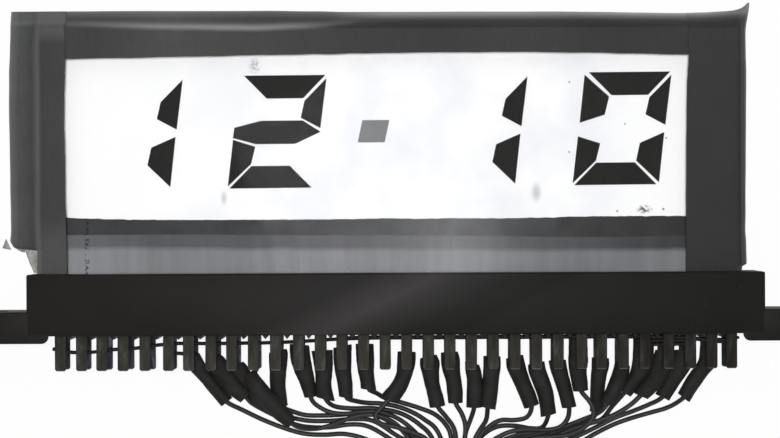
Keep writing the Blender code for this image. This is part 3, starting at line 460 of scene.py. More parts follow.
def loft(bm, shapes, sides, capped=True):
    """A skin through rings, each a unit circle moved by one of the matrices."""
    circle = {"cap_ends": False, "segments": sides, "radius": 1.0, "matrix": shapes[0]}
    ring = bmesh.ops.create_circle(bm, **circle)["verts"]
    edges = list({e for v in ring for e in v.link_edges})
    start_edges = edges
    for before, after in zip(shapes, shapes[1:]):
        new = bmesh.ops.extrude_edge_only(bm, edges=edges)["geom"]
        verts = [g for g in new if isinstance(g, bmesh.types.BMVert)]
        lines = [g for g in new if isinstance(g, bmesh.types.BMEdge)]
        edges = [e for e in lines if all(v in verts for v in e.verts)]
        bmesh.ops.transform(bm, matrix=after @ before.inverted(), verts=verts)
    if capped:
        for rim in (start_edges, edges):
            bmesh.ops.contextual_create(bm, geom=rim)


class MakesPiece:
    """What every operator here shares: it makes its pieces from the panel's settings."""

    bl_options = {"REGISTER", "UNDO"}

    def execute(self, context):
        self.make(context.scene.lcd)
        return {"FINISHED"}


class LCD_OT_stage(MakesPiece, bpy.types.Operator):
    """Make the camera, the pale floor and the soft studio light"""

    bl_idname = "lcd.stage"
    bl_label = "Stage"

    def make(self, settings):
        self.camera()
        self.floor()
        self.lamps()

    def camera(self):
        lens = bpy.data.cameras.new("overhead")
        lens.lens, lens.sensor_width = LENS, SENSOR
        lens.clip_start, lens.clip_end = CLIP
        camera = add_object("overhead", lens)
        camera.location, camera.rotation_euler = CAMERA, (0, 0, CAMERA_ROLL)
        bpy.context.scene.camera = camera

    def floor(self):
        bm = bmesh.new()
        bmesh.ops.create_grid(bm, x_segments=8, y_segments=8, size=FLOOR_HALF)
        bmesh.ops.translate(bm, verts=bm.verts, vec=(0, 0, -FLOOR_DROP))
        floor = add_object("paper_floor", as_mesh("paper_floor", bm))
        floor.data.materials.append(paper())

    def lamps(self):
        world = bpy.data.worlds.new("studio")
        bpy.context.scene.world = world
        world.use_nodes = True
        tree = world.node_tree
        tree.nodes.clear()
        soft = add_node(tree, "Background", {"Color": rgba("#ff"), "Strength": FILL_LIGHT})
        white = add_node(tree, "Background", {"Color": rgba("#ff"), "Strength": 1.0})
        both = add_node(tree, "MixShader", {0: seen_directly(tree), 1: soft, 2: white})
        add_node(tree, "OutputWorld", {"Surface": both})
        for name, (place, width, power) in LAMPS.items():
            light = bpy.data.lights.new(name, "AREA")
            light.shape, light.size, light.energy = "SQUARE", width, power
            lamp = add_object(name, light)
            lamp.location = place
            lamp.rotation_euler = (-Vector(place)).to_track_quat("-Z", "Y").to_euler()


def seen_directly(tree):
    """1 for camera, glossy and transmission rays."""
    path = add_node(tree, "LightPath").outputs
    seen = path["Is Camera Ray"]
    for ray in ("Is Glossy Ray", "Is Transmission Ray"):
        seen = add_node(tree, "Math", {0: seen, 1: path[ray]}, operation="MAXIMUM")
    return seen


def paper():
    """Matt white paper: it stays white to the eye and keeps a light shadow."""
    material, tree = start_material("paper_matt")
    sheet = grain(tree, 1.1, stops={0.3: "#f6f6f5", 0.7: "#fa"})
    sockets = {"Base Color": sheet, "Roughness": 0.9, "Specular IOR Level": 0.0}
    matt = add_node(tree, "BsdfPrincipled", sockets)
    glow = add_node(tree, "Emission", {"Color": rgba("#ff"), "Strength": 1.0})
    share = add_node(tree, "Math", {0: seen_directly(tree), 1: PAPER_GLOW}, operation="MULTIPLY")
    both = add_node(tree, "MixShader", {0: share, 1: matt, 2: glow})
    add_node(tree, "OutputMaterial", {"Surface": both})
    return material


def pvc_insulation(settings):
    """Extruded PVC: black and smooth with a soft sheen, a little dusty in places."""
    material, tree = start_material("pvc_insulation")
    dust = grain(tree, 3.8, 4, stops={0.4: "#00", 0.8: "#1c1c1d"})
    body = add_node(tree, "Mix", {0: 1.0, 6: (*settings.lead_colour, 1), 7: dust}, **ADD)
    return surface(material, body, 0.5, 0.22, dents=(0.7, 3, 0.15, 0.05))


def tinned_copper(name="tinned_copper", dark="#8b8a86", pale="#c9c9c6", roughness=0.4):
    """Tinned copper: dull silver where it was cut lately, grey where flux and age dulled it."""
    material, tree = start_material(name)
    tin = grain(tree, 0.4, 2, stops={0.3: dark, 0.7: pale})
    return surface(material, tin, roughness, metallic=1.0)


def sleeve_line(contact):
    """A sleeve's middle, and the way from there to its right edge, as five numbers in mm."""
    depth, places = SLEEVES[contact]
    row, tip, end = BACK_ROW / MM, TAIL_TIP / MM, places[-1][1]
    return [
        (x, y, row + (depth - row) * min(max((tip - y) / (tip - end), 0.0), 1.0), wide, rise)
        for x, y, wide, rise in places
    ]


def loom_place(contact):
    """Where a lead lies in the loom, across and up from its middle, in mm."""
    for layer, row in enumerate(LOOM_ROWS):
        if contact in row:
            side = (row.index(contact) - (len(row) - 1) / 2) * LOOM_SPACING
            return side, (layer - (len(LOOM_ROWS) - 1) / 2) * LOOM_SPACING * math.sqrt(0.75)
    raise ValueError(f"contact {contact} has no place in the loom")


def lead_line(contact):
    """A lead's middle in mm, from its tail's tip through its sleeve and the loom to its end."""
    tip = Vector((contact_x(contact), TAIL_TIP, BACK_ROW)) / MM
    sleeve = [Vector(place[:3]) for place in sleeve_line(contact) if place[1] < tip.y - 1.5]
    side, up = loom_place(contact)
    first = Vector(LOOM_START)
    # Towards the tie: mm before it, and how far apart the leads still are
    gather = [
        first + Vector((side * spread, back, up * rise))
        for back, spread, rise in ((5.0, 1.5, 1.2), (1.5, 1.05, 1.03), (0, 1, 1))
    ]
    loom = smooth([LOOM_START, *LOOM_ROUTE], LOOM_STEP)
    wander = (contact * 7) % 24 / 24  # so that each lead sways and ends at its own place
    stop = len(loom) - 1 - round(2.4 * wander)
    bundle = []
    for i in range(1, stop + 1):
        turn = frame_at(loom, i, True)
        sway = 0.12 * math.sin(0.55 * i + 6.3 * wander)
        splay = 1 + 0.25 * max(0, i - stop + 4) / 4
        bundle.append(loom[i] + turn @ Vector((side * splay + sway, up, 0)))
    return smooth([tip, *sleeve, *LEADS[contact], *gather, *bundle], LEAD_STEP)


class LCD_OT_leads(MakesPiece, bpy.types.Operator):
    """Make the 24 insulated leads, each from its sleeve to its tinned end in the loom"""

    bl_idname = "lcd.leads"
    bl_label = "Leads"

    def make(self, settings):
        insulation, tinned = pvc_insulation(settings), tinned_copper()
        for contact in LEADS:
            line = [p * MM for p in lead_line(contact)]
            bare = max(i for i in range(len(line)) if length_of(line[i:]) > settings.bare_end)
            tip = self.bare_end(contact, line[bare:], tinned, settings)
            curve = bpy.data.curves.new(f"lead_wire_{contact:02d}", "CURVE")
            curve.dimensions, curve.use_fill_caps = "3D", True
            curve.bevel_depth, curve.bevel_resolution = settings.lead_diameter / 2, 3
            spline = curve.splines.new("POLY")
            spline.points.add(bare)
            for point, place in zip(spline.points, line):
                point.co = (*place, 1.0)
            spline.use_smooth = True
            curve.materials.append(insulation)
            lead = add_object(curve.name, curve)
            settle(lead, [f"lead_{contact:02d}", "loom"])

    def bare_end(self, contact, line, tinned, settings):
        """Seven tinned strands twisted together, as one grooved wire."""
        bm = bmesh.new()
        radius = settings.lead_diameter * CONDUCTOR
        sweep(bm, line, lambda i: (radius, radius), 14, level=False)
        axis = (line[-1] - line[0]).normalized()
        for vert in bm.verts:
            out = vert.co - line[0]
            run = out.dot(axis)
            out -= axis * run
            turn = math.atan2(out.z, out.x) + run / MM * STRAND_TWIST
            vert.co += out * GROOVE * (math.cos(STRANDS * turn) - 1)
        return finish(f"lead_end_{contact:02d}", bm, tinned, None, 60)


# Bus wire: mm below the housing in the gap after each contact, from the stub before contact 1
BUS_DROPS = (2.5, 3.12, 3.1, 2.62, 2.42, 1.85, 1.57, 1.6, 1.6, 1.6, 1.55, 1.43, 1.25, 1.02, 0.78,
    *[0.67] * 13, 0.78, 0.88, 1.2, 1.5, 0.97)
BUS_END = 1.5 * MM  # from the end contacts
# Jumpers: from and to which contact, and mm below the housing
JUMPERS = ((5.85, 7.12, 3.47), (27.6, 30.3, 1.5), (27.7, 30.2, 2.15))
WIRE_SUNK = 0.05 * MM  # into the solder
JUMPER_SUNK = 0.15 * MM  # below the bus wire's middle
# How thick the bus wire and the solder along it are, in the gap after each contact
BUS_SIZES = {1: 1.0, 2: 0.95, **dict.fromkeys(range(14, 31), 1.22), 31: 1.5, 32: 0.8}


def tinned_brass(name, dark, middle, pale):
    """Stamped brass blades tinned long ago: dull, streaked along the stamping, with a painted
    highlight along the tips where they are cut.
    """
    material, tree = start_material(name)
    tarnish = grain(tree, 1.2, 3, 0.6, (1, 0.25, 1), {0.3: dark, 0.55: middle, 0.75: pale})
    # Painted highlight along each cut tip
    painted_tip_glint = across(tree, "Y", TAIL_TIP / MM + 0.08, TAIL_TIP / MM - 0.02)
    # Lighter in the middle of the row and darker towards the right
    tone_ramp = across(tree, "X", -62, 62, {0: "#f4", 0.5: "#ff", 0.72: "#f0", 0.9: "#c8", 1: "#c4"})
    tarnish = add_node(tree, "Mix", {0: 1.0, 6: tarnish, 7: tone_ramp}, **MULTIPLY)
    metal = add_node(tree, "Mix", {0: painted_tip_glint, 6: tarnish, 7: rgba("#4c4c48")}, **MIX)
    return surface(material, metal, 0.7, dents=(0.5, 3, 0.2, 0.04), metallic=1.0)


# mm: how far out of line some tails of the front row and of the back row stand
TAILS_BENT = {
    FRONT_ROW: {2: -0.08, 3: -0.3, 4: -0.4, 5: -0.37, 7: -0.33, 8: -0.15, 9: -0.35, 10: -0.33,
                11: -0.28, 25: 0.35, 29: 0.4, 30: 0.42, 31: 0.38},
    BACK_ROW: {8: 0.25, 10: -0.2, 25: -0.5, 28: -0.45},
}


class LCD_OT_tails(MakesPiece, bpy.types.Operator):
    """Make both rows of solder tails"""

    bl_idname = "lcd.tails"
    bl_label = "Solder tails"

    def make(self, settings):
        for name, row, finish_name, *tones in (
            ("front_tails", FRONT_ROW, "tinned_brass_dull", "#262522", "#32312d", "#424346"),
            # The back row's tones are painted lighter and bluer, to make up for the front row's
            # shade over it
            ("back_tails", BACK_ROW, "tinned_brass_bright", "#26272a", "#383a41", "#6d7078"),
        ):
            metal = tinned_brass(finish_name, *tones)
            bm = bmesh.new()
            for contact in range(1, CONTACTS + 1):
                self.blade(bm, contact, row)
            finish(name, bm, metal, CONNECTOR)

    def blade(self, bm, contact, row):
        """One flat tail, a little out of line, with the corners of its tip cut off."""
        half, corner, sunk = 1.02 * MM, 0.3 * MM, 0.6 * MM
        seed = (contact * 3.1, row / MM, 0.5)
        root = HOUSING_FOOT + sunk
        tip = TAIL_TIP + (0.12 * waver(*seed) - 0.12) * MM
        outline = [(-half, root), (-half, tip + corner), (-half + corner, tip)]
        outline += [(-x, y) for x, y in reversed(outline)]
        tail = bmesh.new()
        slab(tail, outline, -TAIL_THICKNESS / 2, TAIL_THICKNESS / 2)
        round_edges(tail, 0.06 * MM, 1)
        lean = math.radians(0.8 * waver(seed[0] + 9, *seed[1:]))
        turn = Matrix.Translation((0, root, 0)) @ Matrix.Rotation(lean, 4, "Z")
        turn = turn @ Matrix.Rotation(lean * 1.4, 4, "X") @ Matrix.Translation((0, -root, 0))
        x = contact_x(contact) + TAILS_BENT[row].get(contact, 0.0) * MM
        join(bm, tail, Matrix.Translation((x, 0, row)) @ turn)


def solder():
    """Old tin-lead solder: rounded and grey, dull with flux."""
    material, tree = start_material("solder")
    tin = grain(tree, 0.7, stops={0.35: "#191918", 0.7: "#313133"})
    return surface(material, tin, 0.7, metallic=1.0)


class LCD_OT_bus_wires(MakesPiece, bpy.types.Operator):
    """Make the bare wires soldered across the front tails, and their solder"""

    bl_idname = "lcd.bus_wires"
    bl_label = "Bus wires"

    def make(self, settings):
        radius = settings.bus_diameter / 2
        z = FRONT_ROW - TAIL_THICKNESS / 2 - radius + WIRE_SUNK
        gaps = [(contact_x(i + 0.5), HOUSING_FOOT - d * MM, z) for i, d in enumerate(BUS_DROPS)]
        gaps[0] = (contact_x(1) - BUS_END, *gaps[0][1:])
        gaps[-1] = (contact_x(CONTACTS) + BUS_END, *gaps[-1][1:])
        line = smooth([Vector(p) / MM for p in gaps], 0.5)
        line = [p * MM + Vector((0, 0.07 * MM * noise.noise(p * 0.5), 0)) for p in line]
        metal = tinned_copper("tinned_copper_old", "#191817", "#2d2c2a", 0.7)
        self.wire("bus_wire", line, radius, metal)
        for number, (first, last, drop) in enumerate(JUMPERS, 1):
            steps = round((last - first) * 8)
            path = []
            for i in range(steps + 1):
                x = contact_x(first + (last - first) * i / steps)
                sag = (drop + 0.06 * math.sin(i * 0.9 + number)) * MM
                path.append(Vector((x, HOUSING_FOOT - sag, z - JUMPER_SUNK)))
            self.wire(f"jumper_wire_{number}", path, radius, metal)
        bm = bmesh.new()
        for contact in range(1, CONTACTS + 1):
            near = min(line, key=lambda p: abs(p.x - contact_x(contact)))
            self.joint(bm, Vector((contact_x(contact), near.y, z)), radius, contact)
        for first, last, drop in JUMPERS:
            for contact in range(math.ceil(first), math.floor(last) + 1):
                y = HOUSING_FOOT - drop * MM
                self.joint(bm, Vector((contact_x(contact), y, z)), radius, contact + 40)
        finish("bus_solder", bm, solder(), CONNECTOR, 80)

    def wire(self, name, path, radius, metal):
        def size(i):
            gap = round(path[i].x / PITCH + CONTACTS / 2)
            thick = radius * BUS_SIZES.get(gap, 1.0) if name == "bus_wire" else radius
            return thick, min(thick, radius * 1.15)

        bm = bmesh.new()
        sweep(bm, path, size, 10)
        finish(name, bm, metal, CONNECTOR, 60)

    def joint(self, bm, place, radius, seed):
        """Solder that spreads from the wire on to its tail."""
        size = 1 + 0.25 * waver(seed * 1.7)
        matrix = Matrix.Translation(place + Vector((0, 0, -radius * 0.1)))
        matrix = matrix @ Matrix.Diagonal((1.15 * MM * size, 0.5 * MM * size, radius * 1.1, 1))
        blob = bmesh.ops.create_uvsphere(bm, u_segments=12, v_segments=8, radius=1, matrix=matrix)
        dent(blob["verts"], 0.05, 1.3)


def shrink_sleeving(settings):
    """Polyolefin heat-shrink: matt black, faintly blue where it is stretched."""
    material, tree = start_material("polyolefin_sleeve")
    scuffs = grain(tree, 2.4, 5, 0.6, stops={0.4: "#00", 0.62: "#121214", 0.8: "#26262c"})
    body = add_node(tree, "Mix", {0: 1.0, 6: (*settings.sleeve_colour, 1), 7: scuffs}, **ADD)
    return surface(material, body, 0.7, 0.15, dents=(1.1, 4, 0.35, 0.08))


class LCD_OT_sleeves(MakesPiece, bpy.types.Operator):
    """Make the heat-shrink sleeves over the back tails"""

    bl_idname = "lcd.sleeves"
    bl_label = "Sleeves"

    def make(self, settings):
        sleeving = shrink_sleeving(settings)
        scale = settings.sleeve_diameter / SLEEVE_DIAMETER * MM
        tip = TAIL_TIP / MM
        for contact in LEADS:
            shapes = []
            for i, (x, y, z, wide, rise) in enumerate(smooth(sleeve_line(contact), 0.6)):
                flat = ease(y, tip - SLEEVE_SLOPE, tip)
                rough = 1 + 0.02 * waver(contact * 5.3, i * 0.9)
                side = Vector((wide, rise, 0)) * scale * rough
                up = Vector((0, 0, SLEEVE_HALF - SLEEVE_FLATTER * flat)) * scale * rough
                turn = Matrix((side, up, side.cross(up).normalized())).transposed().to_4x4()
                shapes.append(Matrix.Translation(Vector((x, y, z)) * MM) @ turn)
            bm = bmesh.new()
            loft(bm, shapes, 20, capped=False)
            dent(bm.verts, 0.035, 0.9)
            name, solid = f"shrink_sleeve_{contact:02d}", f"sleeve_{contact:02d}"
            sleeve = finish(name, bm, sleeving, solid, 70)
            wall = sleeve.modifiers.new("wall", "SOLIDIFY")
            wall.thickness, wall.offset = SLEEVE_WALL, -1.0


def phenolic(settings):
    """Moulded phenolic: near-black brown and satin, paler in a slanting band near the middle, with
    a little pale dust.
    """
    material, tree = start_material("phenolic_moulding")
    cloud = grain(tree, 11, 4, stops={0.3: "#00", 0.7: "#070706"})
    body = add_node(tree, "Mix", {0: 1.0, 6: (*settings.moulding_colour, 1), 7: cloud}, **ADD)
    where = position(tree)
    leaning = {0: where["Y"], 1: -2.0, 2: where["X"]}
    leaning = add_node(tree, "Math", leaning, operation="MULTIPLY_ADD")
    # Paler in a band that slants across the middle
    slanting_band = across(tree, leaning, -32, 24, {0: "#0e0d0c", 0.3: "#131212", 0.52: "#2f2d2d",
        0.62: "#201f1f", 0.8: "#06", 0.94: "#00", 1: "#0a"})
    dust = grain(tree, 0.42, 1, stops={0.77: "#00", 0.84: "#3c3c3b"})
    for pattern in (slanting_band, dust):
        body = add_node(tree, "Mix", {0: 1.0, 6: body, 7: pattern}, **ADD)
    return surface(material, body, 0.5, 0.06, dents=(0.35, 2, 0.1, 0.05))


# mm: the card slot's half width and half depth at its mouth, its throat and its floor, and how
# far each lies below the one before
SLOT_LEVELS = ((66.4, 1.75, 0), (66.0, 1.15, 0.8), (65.9, 1.1, 7.4))
EAR_HOLE_X = 73.0 * MM
EAR_HOLE_RADIUS = 1.6 * MM


class LCD_OT_housing(MakesPiece, bpy.types.Operator):
    """Make the moulded card-edge connector housing"""

    bl_idname = "lcd.housing"
    bl_label = "Connector housing"

    def make(self, settings):
        moulding = phenolic(settings)
        shapes = {"housing_body": self.body, "housing_ears": self.ears, "barrier_ribs": self.ribs}
        for name, shape in shapes.items():
            bm = bmesh.new()
            shape(bm)
            finish(name, bm, moulding, CONNECTOR)

    def body(self, bm):
        """The long body, with its flared card slot sunk from the top."""
        half = HOUSING_HALF + 0.06 * MM
        block(bm, (-half, HOUSING_FOOT, 0), (half, HOUSING_TOP, HOUSING_DEPTH))
        bm.normal_update()
        top = max(bm.faces, key=lambda f: f.calc_center_median().y)
        middle = (GLASS[0][2] + GLASS[1][2]) / 2
        for half_x, half_z, sink in SLOT_LEVELS:
            bmesh.ops.inset_individual(bm, faces=[top], thickness=0.1 * MM)
            for vert in top.verts:
                vert.co.x = math.copysign(half_x * MM, vert.co.x)
                vert.co.z = middle + math.copysign(half_z * MM, vert.co.z - HOUSING_DEPTH / 2)
                vert.co.y -= sink * MM
        round_edges(bm, 0.3 * MM, 3)

    def ears(self, bm):
        """The mounting ears, rounded at their inner foot, each with a screw hole through it."""
        foot, top = HOUSING_FOOT - 1.36 * MM, HOUSING_FOOT + 4.4 * MM
        inner, outer, curve, draft, play = 63.0 * MM, HOUSING[1][0], 1.34 * MM, 2.3 * MM, 0.01 * MM
        outline = [(outer, foot), (outer, top), (inner, top), (inner, foot + curve)]
        outline += [
            (inner + curve - curve * math.cos(a), foot + curve - curve * math.sin(a))
            for a in (math.pi / 2 * i / 8 for i in range(1, 9))
        ]
        for side in (-1, 1):
            ear = bmesh.new()
            slab(ear, [(side * x, y) for x, y in outline], play, HOUSING_DEPTH - play)
            round_edges(ear, 0.25 * MM, 3, 60)
            for vert in ear.verts:
                near = (outer - abs(vert.co.x)) / (outer - inner)
                vert.co.x += side * draft * near * (1 - vert.co.z / HOUSING_DEPTH)
            join(bm, ear)
        self.drill(bm, foot, top)

    def drill(self, bm, low, high):
        """Cuts a round hole along Y through each ear."""
        tool = bmesh.new()
        for x in (-EAR_HOLE_X, EAR_HOLE_X):
            middle = Matrix.Translation((x, (low + high) / 2, HOUSING_DEPTH / 2))
            bmesh.ops.create_cone(tool, cap_ends=True, cap_tris=False, segments=40,
                radius1=EAR_HOLE_RADIUS, radius2=EAR_HOLE_RADIUS, depth=high - low + 2 * MM,
                matrix=middle @ Matrix.Rotation(math.pi / 2, 4, "X"))
        solids = []
        for name, shape in (("ears", bm.copy()), ("drill", tool)):
            bmesh.ops.recalc_face_normals(shape, faces=shape.faces)
            solids.append(add_object(name, as_mesh(name, shape)))
        cut = solids[0].modifiers.new("drill", "BOOLEAN")
        cut.operation, cut.solver, cut.object = "DIFFERENCE", "EXACT", solids[1]
        drilled = bpy.data.meshes.new_from_object(
            solids[0].evaluated_get(bpy.context.evaluated_depsgraph_get())
        )
        bm.clear()
        bm.from_mesh(drilled)
        for piece in solids:
            bpy.data.meshes.remove(piece.data)
        bpy.data.meshes.remove(drilled)

    def ribs(self, bm):
        """Pointed barrier ribs between the contacts."""
        half, margin = 0.65 * MM, 0.8 * MM
        root, point = HOUSING_FOOT + 0.1 * MM, HOUSING_FOOT - 0.75 * MM
        for contact in range(1, CONTACTS):
            x = contact_x(contact + 0.5)
            outline = [(x - half, root), (x, point), (x + half, root)]
            slab(bm, outline, margin, HOUSING_DEPTH - margin)


def pvc_tape(settings):
    """PVC electrical tape: calendered, dark grey and satin. It has a painted highlight along the
    ridge where it is folded over the edge of the glass and along the fold's tip, painted sheen on
    its flanges, and is paler towards the left.
    """
    material, tree = start_material("pvc_tape")
    body = (*settings.tape_colour, 1)
    # Paler towards the left and darker towards the right, unevenly
    tone_along_x = across(tree, "X", -70, 64, {0: "#ff", 0.015: "#f8f8f9", 0.025: "#dcdcdd",
        0.036: "#aaaaab", 0.048: "#b4b4b5", 0.073: "#b9b9ba", 0.115: "#adacad", 0.17: "#d3d2d2",
        0.226: "#e4e2e2", 0.309: "#cac8c8", 0.392: "#b0aeae", 0.448: "#a8a6a6", 0.5: "#a2a0a0",
        0.582: "#999697", 0.664: "#a29fa0", 0.746: "#a4a1a2", 0.828: "#8f8c8d", 0.93: "#a19e9f",
        1: "#a5a2a3"})
    for pattern in (
        tone_along_x,
        grain(tree, 15, 5, 0.6, stops={0.3: "#e6e0e1", 0.5: "#efefee", 0.7: "#fafdff"}),
        grain(tree, 0.9, 2, 0.5, (1, 0.3, 1), {0.3: "#f0", 0.7: "#ff"}),
    ):
        body = add_node(tree, "Mix", {0: 1.0, 6: body, 7: pattern}, **MULTIPLY)

    # Painted highlight along the ridge of the fold over the glass's edge, but not at the corner
    inside = across(tree, "X", -61, -60.4)
    below = across(tree, "Y", 7, 54, {0: "#bc", 0.1: "#c4", 0.18: "#ff", 0.87: "#ff", 0.93: "#50",
        1: "#00"})
    kept = add_node(tree, "Math", {0: inside, 1: below}, operation="MAXIMUM")
    corner = {"Value": kept, "From Min": 1.0, "From Max": 0.0, "To Max": 0.15}
    corner = add_node(tree, "MapRange", corner)
    ridge = across(tree, "Y", -0.6, 1.7, {0.1: "#00", 0.22: "#7c", 0.3: "#bc", 0.37: "#ed",
        0.45: "#ff", 0.52: "#ff", 0.61: "#e4", 0.7: "#c0", 0.78: "#8e", 0.85: "#5c", 1: "#00"},
        "UV")
    reach = across(tree, "X", -66, -6, {0: "#7c", 0.1: "#78", 0.2: "#b0", 0.35: "#f0", 0.6: "#f4",
        0.8: "#d8", 0.88: "#a0", 1: "#00"})
    painted_ridge_highlight = add_node(tree, "Math", {0: ridge, 1: reach}, operation="MULTIPLY")
    turn = across(tree, "X", -66.4, -65.6)
    # Painted sheen on the flange behind it, paler to its right, and on its shoulder, paler to its
    # left
    high = across(tree, "Y", 51.2, 53.4, {0: "#00", 0.23: "#45", 0.39: "#57", 0.48: "#6e",
        0.645: "#98", 0.73: "#b3", 0.81: "#d1", 0.95: "#ff"})
    right = across(tree, "X", -62, 64, {0: "#30", 0.16: "#34", 0.286: "#20", 0.4: "#40",
        0.476: "#c4", 0.65: "#cc", 0.76: "#bc", 0.85: "#f0", 0.94: "#ff", 0.98: "#c0", 1: "#a0"})
    shoulder = across(tree, "Y", 50.9, 53.2, {0: "#00", 0.2: "#38", 0.42: "#6a", 0.6: "#56",
        0.8: "#3a", 1: "#40"})
    left = across(tree, "X", -66, 2, {0: "#ff", 0.2: "#ff", 0.38: "#e4", 0.54: "#c0", 0.7: "#bc",
        0.82: "#d0", 0.94: "#60", 1: "#00"})
    # Lays on the painted ridge highlight, a lighter tone at the left flange's top corner and foot,
    # and the painted sheen
    for first, second, tone in (
        (painted_ridge_highlight, kept, "#868685"),
        (corner, turn, "#9c"),
        (high, right, "#9c"),
        (shoulder, left, "#9c"),
    ):
        share = add_node(tree, "Math", {0: first, 1: second}, operation="MULTIPLY")
        body = add_node(tree, "Mix", {0: share, 6: body, 7: rgba(tone)}, **MIX)
    # Darker towards the bottom, on the right tape only
    tone_ramp = across(tree, "Y", 8, 52, {0: "#c8", 0.45: "#db", 0.9: "#f2", 1: "#ff"})
    tone_ramp = add_node(tree, "Mix", {0: 1.0, 6: body, 7: tone_ramp}, **MULTIPLY)
    right_end = across(tree, "X", 50, 53.5)
    body = add_node(tree, "Mix", {0: right_end, 6: body, 7: tone_ramp}, **MIX)
    # Painted highlight along the fold's tip, fading out within 1.5 mm of it
    painted_tip_highlight = across(tree, "X", 0, 1.5, {0: "#a0", 0.12: "#78", 0.25: "#54", 1: "#00"}, "UV")
    body = add_node(tree, "Mix", {0: painted_tip_highlight, 6: body, 7: rgba("#b0")}, **MIX)
    return surface(material, body, 0.55, 0.15, dents=(2.4, 4, 0.25, 0.1))


# Heights of the tape in front of the glass, behind it and at its fold's tip
FRONT_LEAF = 5.52 * MM
BACK_LEAF = 1.38 * MM
FOLD_HEIGHT = 3.45 * MM
SIDE_TOP = GLASS[1][1] + 3.48 * MM  # where the side tapes end
# The fold: share of the flange's width, share of the height
FOLD_SHAPE = [Vector(p) for p in (
    (0, 1), (0.06, 0.985), (0.14, 0.88), (0.26, 0.6), (0.42, 0.33), (0.62, 0.17), (0.85, 0.1),
    (0.96, 0.07), (1, 0))]

# mm: along each tape, how far it covers the glass and how far its flange reaches past it
TOP_COVER = [(-62, 5.42), (-52, 5.25), (-40, 5.07), (-26, 4.85), (-14, 4.71), (-4, 4.54),
    (8, 4.45), (24, 4.47), (36, 4.65), (44, 4.85), (52, 5.07)]
TOP_FLANGE = [(-62, 3.45), (-24, 3.38), (-15, 3.25), (-8, 3.08), (24, 3.02), (36, 2.9), (46, 2.72),
    (53, 2.6)]
# mm: how far the painted ridge highlight strays outwards
CREASE_SHIFT = [(-57, 0.3), (-50, 0.15), (-44, 0), (-38, -0.1), (-30, -0.25), (-26, -0.35),
    (-18, -0.1), (-14, 0.0), (-9, 0.5), (-5, 1.2)]
LEFT_COVER = [(9, 5.29), (16, 5.06), (20, 4.96), (26, 4.94), (29, 4.9), (33, 4.78), (38, 4.84),
    (42, 4.96), (45, 5.09)]
LEFT_FLANGE = [(11, 5.5), (14, 5.34), (17, 5.34), (22, 5.46), (29, 5.53), (37, 5.6), (42, 5.52),
    (46, 5.34), (51, 5.2), (54, 5.05)]
RIGHT_COVER = [(6, 10.0), (18, 9.97), (27, 9.9), (34, 9.79), (40, 9.69), (42, 9.55), (45, 9.4)]
RIGHT_FLANGE = [(7, 1.37), (10.7, 1.29), (13, 1.15), (17, 1.27), (20, 1.27), (27, 1.33),
    (35, 1.39), (42, 1.42), (46, 1.3), (50, 1.24), (54, 1.38)]
# mm: the right tape's upper edge
RIGHT_TOP = [(54, 53.2), (57, 53.26), (60.9, 53.44), (62.5, 53.57), (63.3, 53.72), (64.0, 53.95),
    (64.5, 54.22), (64.9, 54.5), (65.3, 55.0)]


def along(points, share):
    """The point a share of the way along a polyline of evenly weighted points."""
    place = min(max(share, 0.0), 1.0) * (len(points) - 1)
    i = min(int(place), len(points) - 2)
    return points[i].lerp(points[i + 1], place - i)


def fold(v, cover, flange):
    """Across a folded tape: v is 0 at its front edge, 0.5 at the fold's tip and 1 at its back
    edge. Returns the distance outside the glass and the share of the leaf's height.
    """
    share = min(v, 1 - v) * 2
    if share < 0.5:
        return -cover * (1 - share / 0.5), 1.0
    out, height = along(FOLD_SHAPE, (share - 0.5) / 0.5)
    return flange * out, height


def height_at(v, share, lift):
    """The height of a tape whose leaf is lifted clear of what lies under it."""
    if v <= 0.5:
        return FOLD_HEIGHT + (FRONT_LEAF - FOLD_HEIGHT) * share + lift
    return FOLD_HEIGHT - (FOLD_HEIGHT - BACK_LEAF) * share - lift


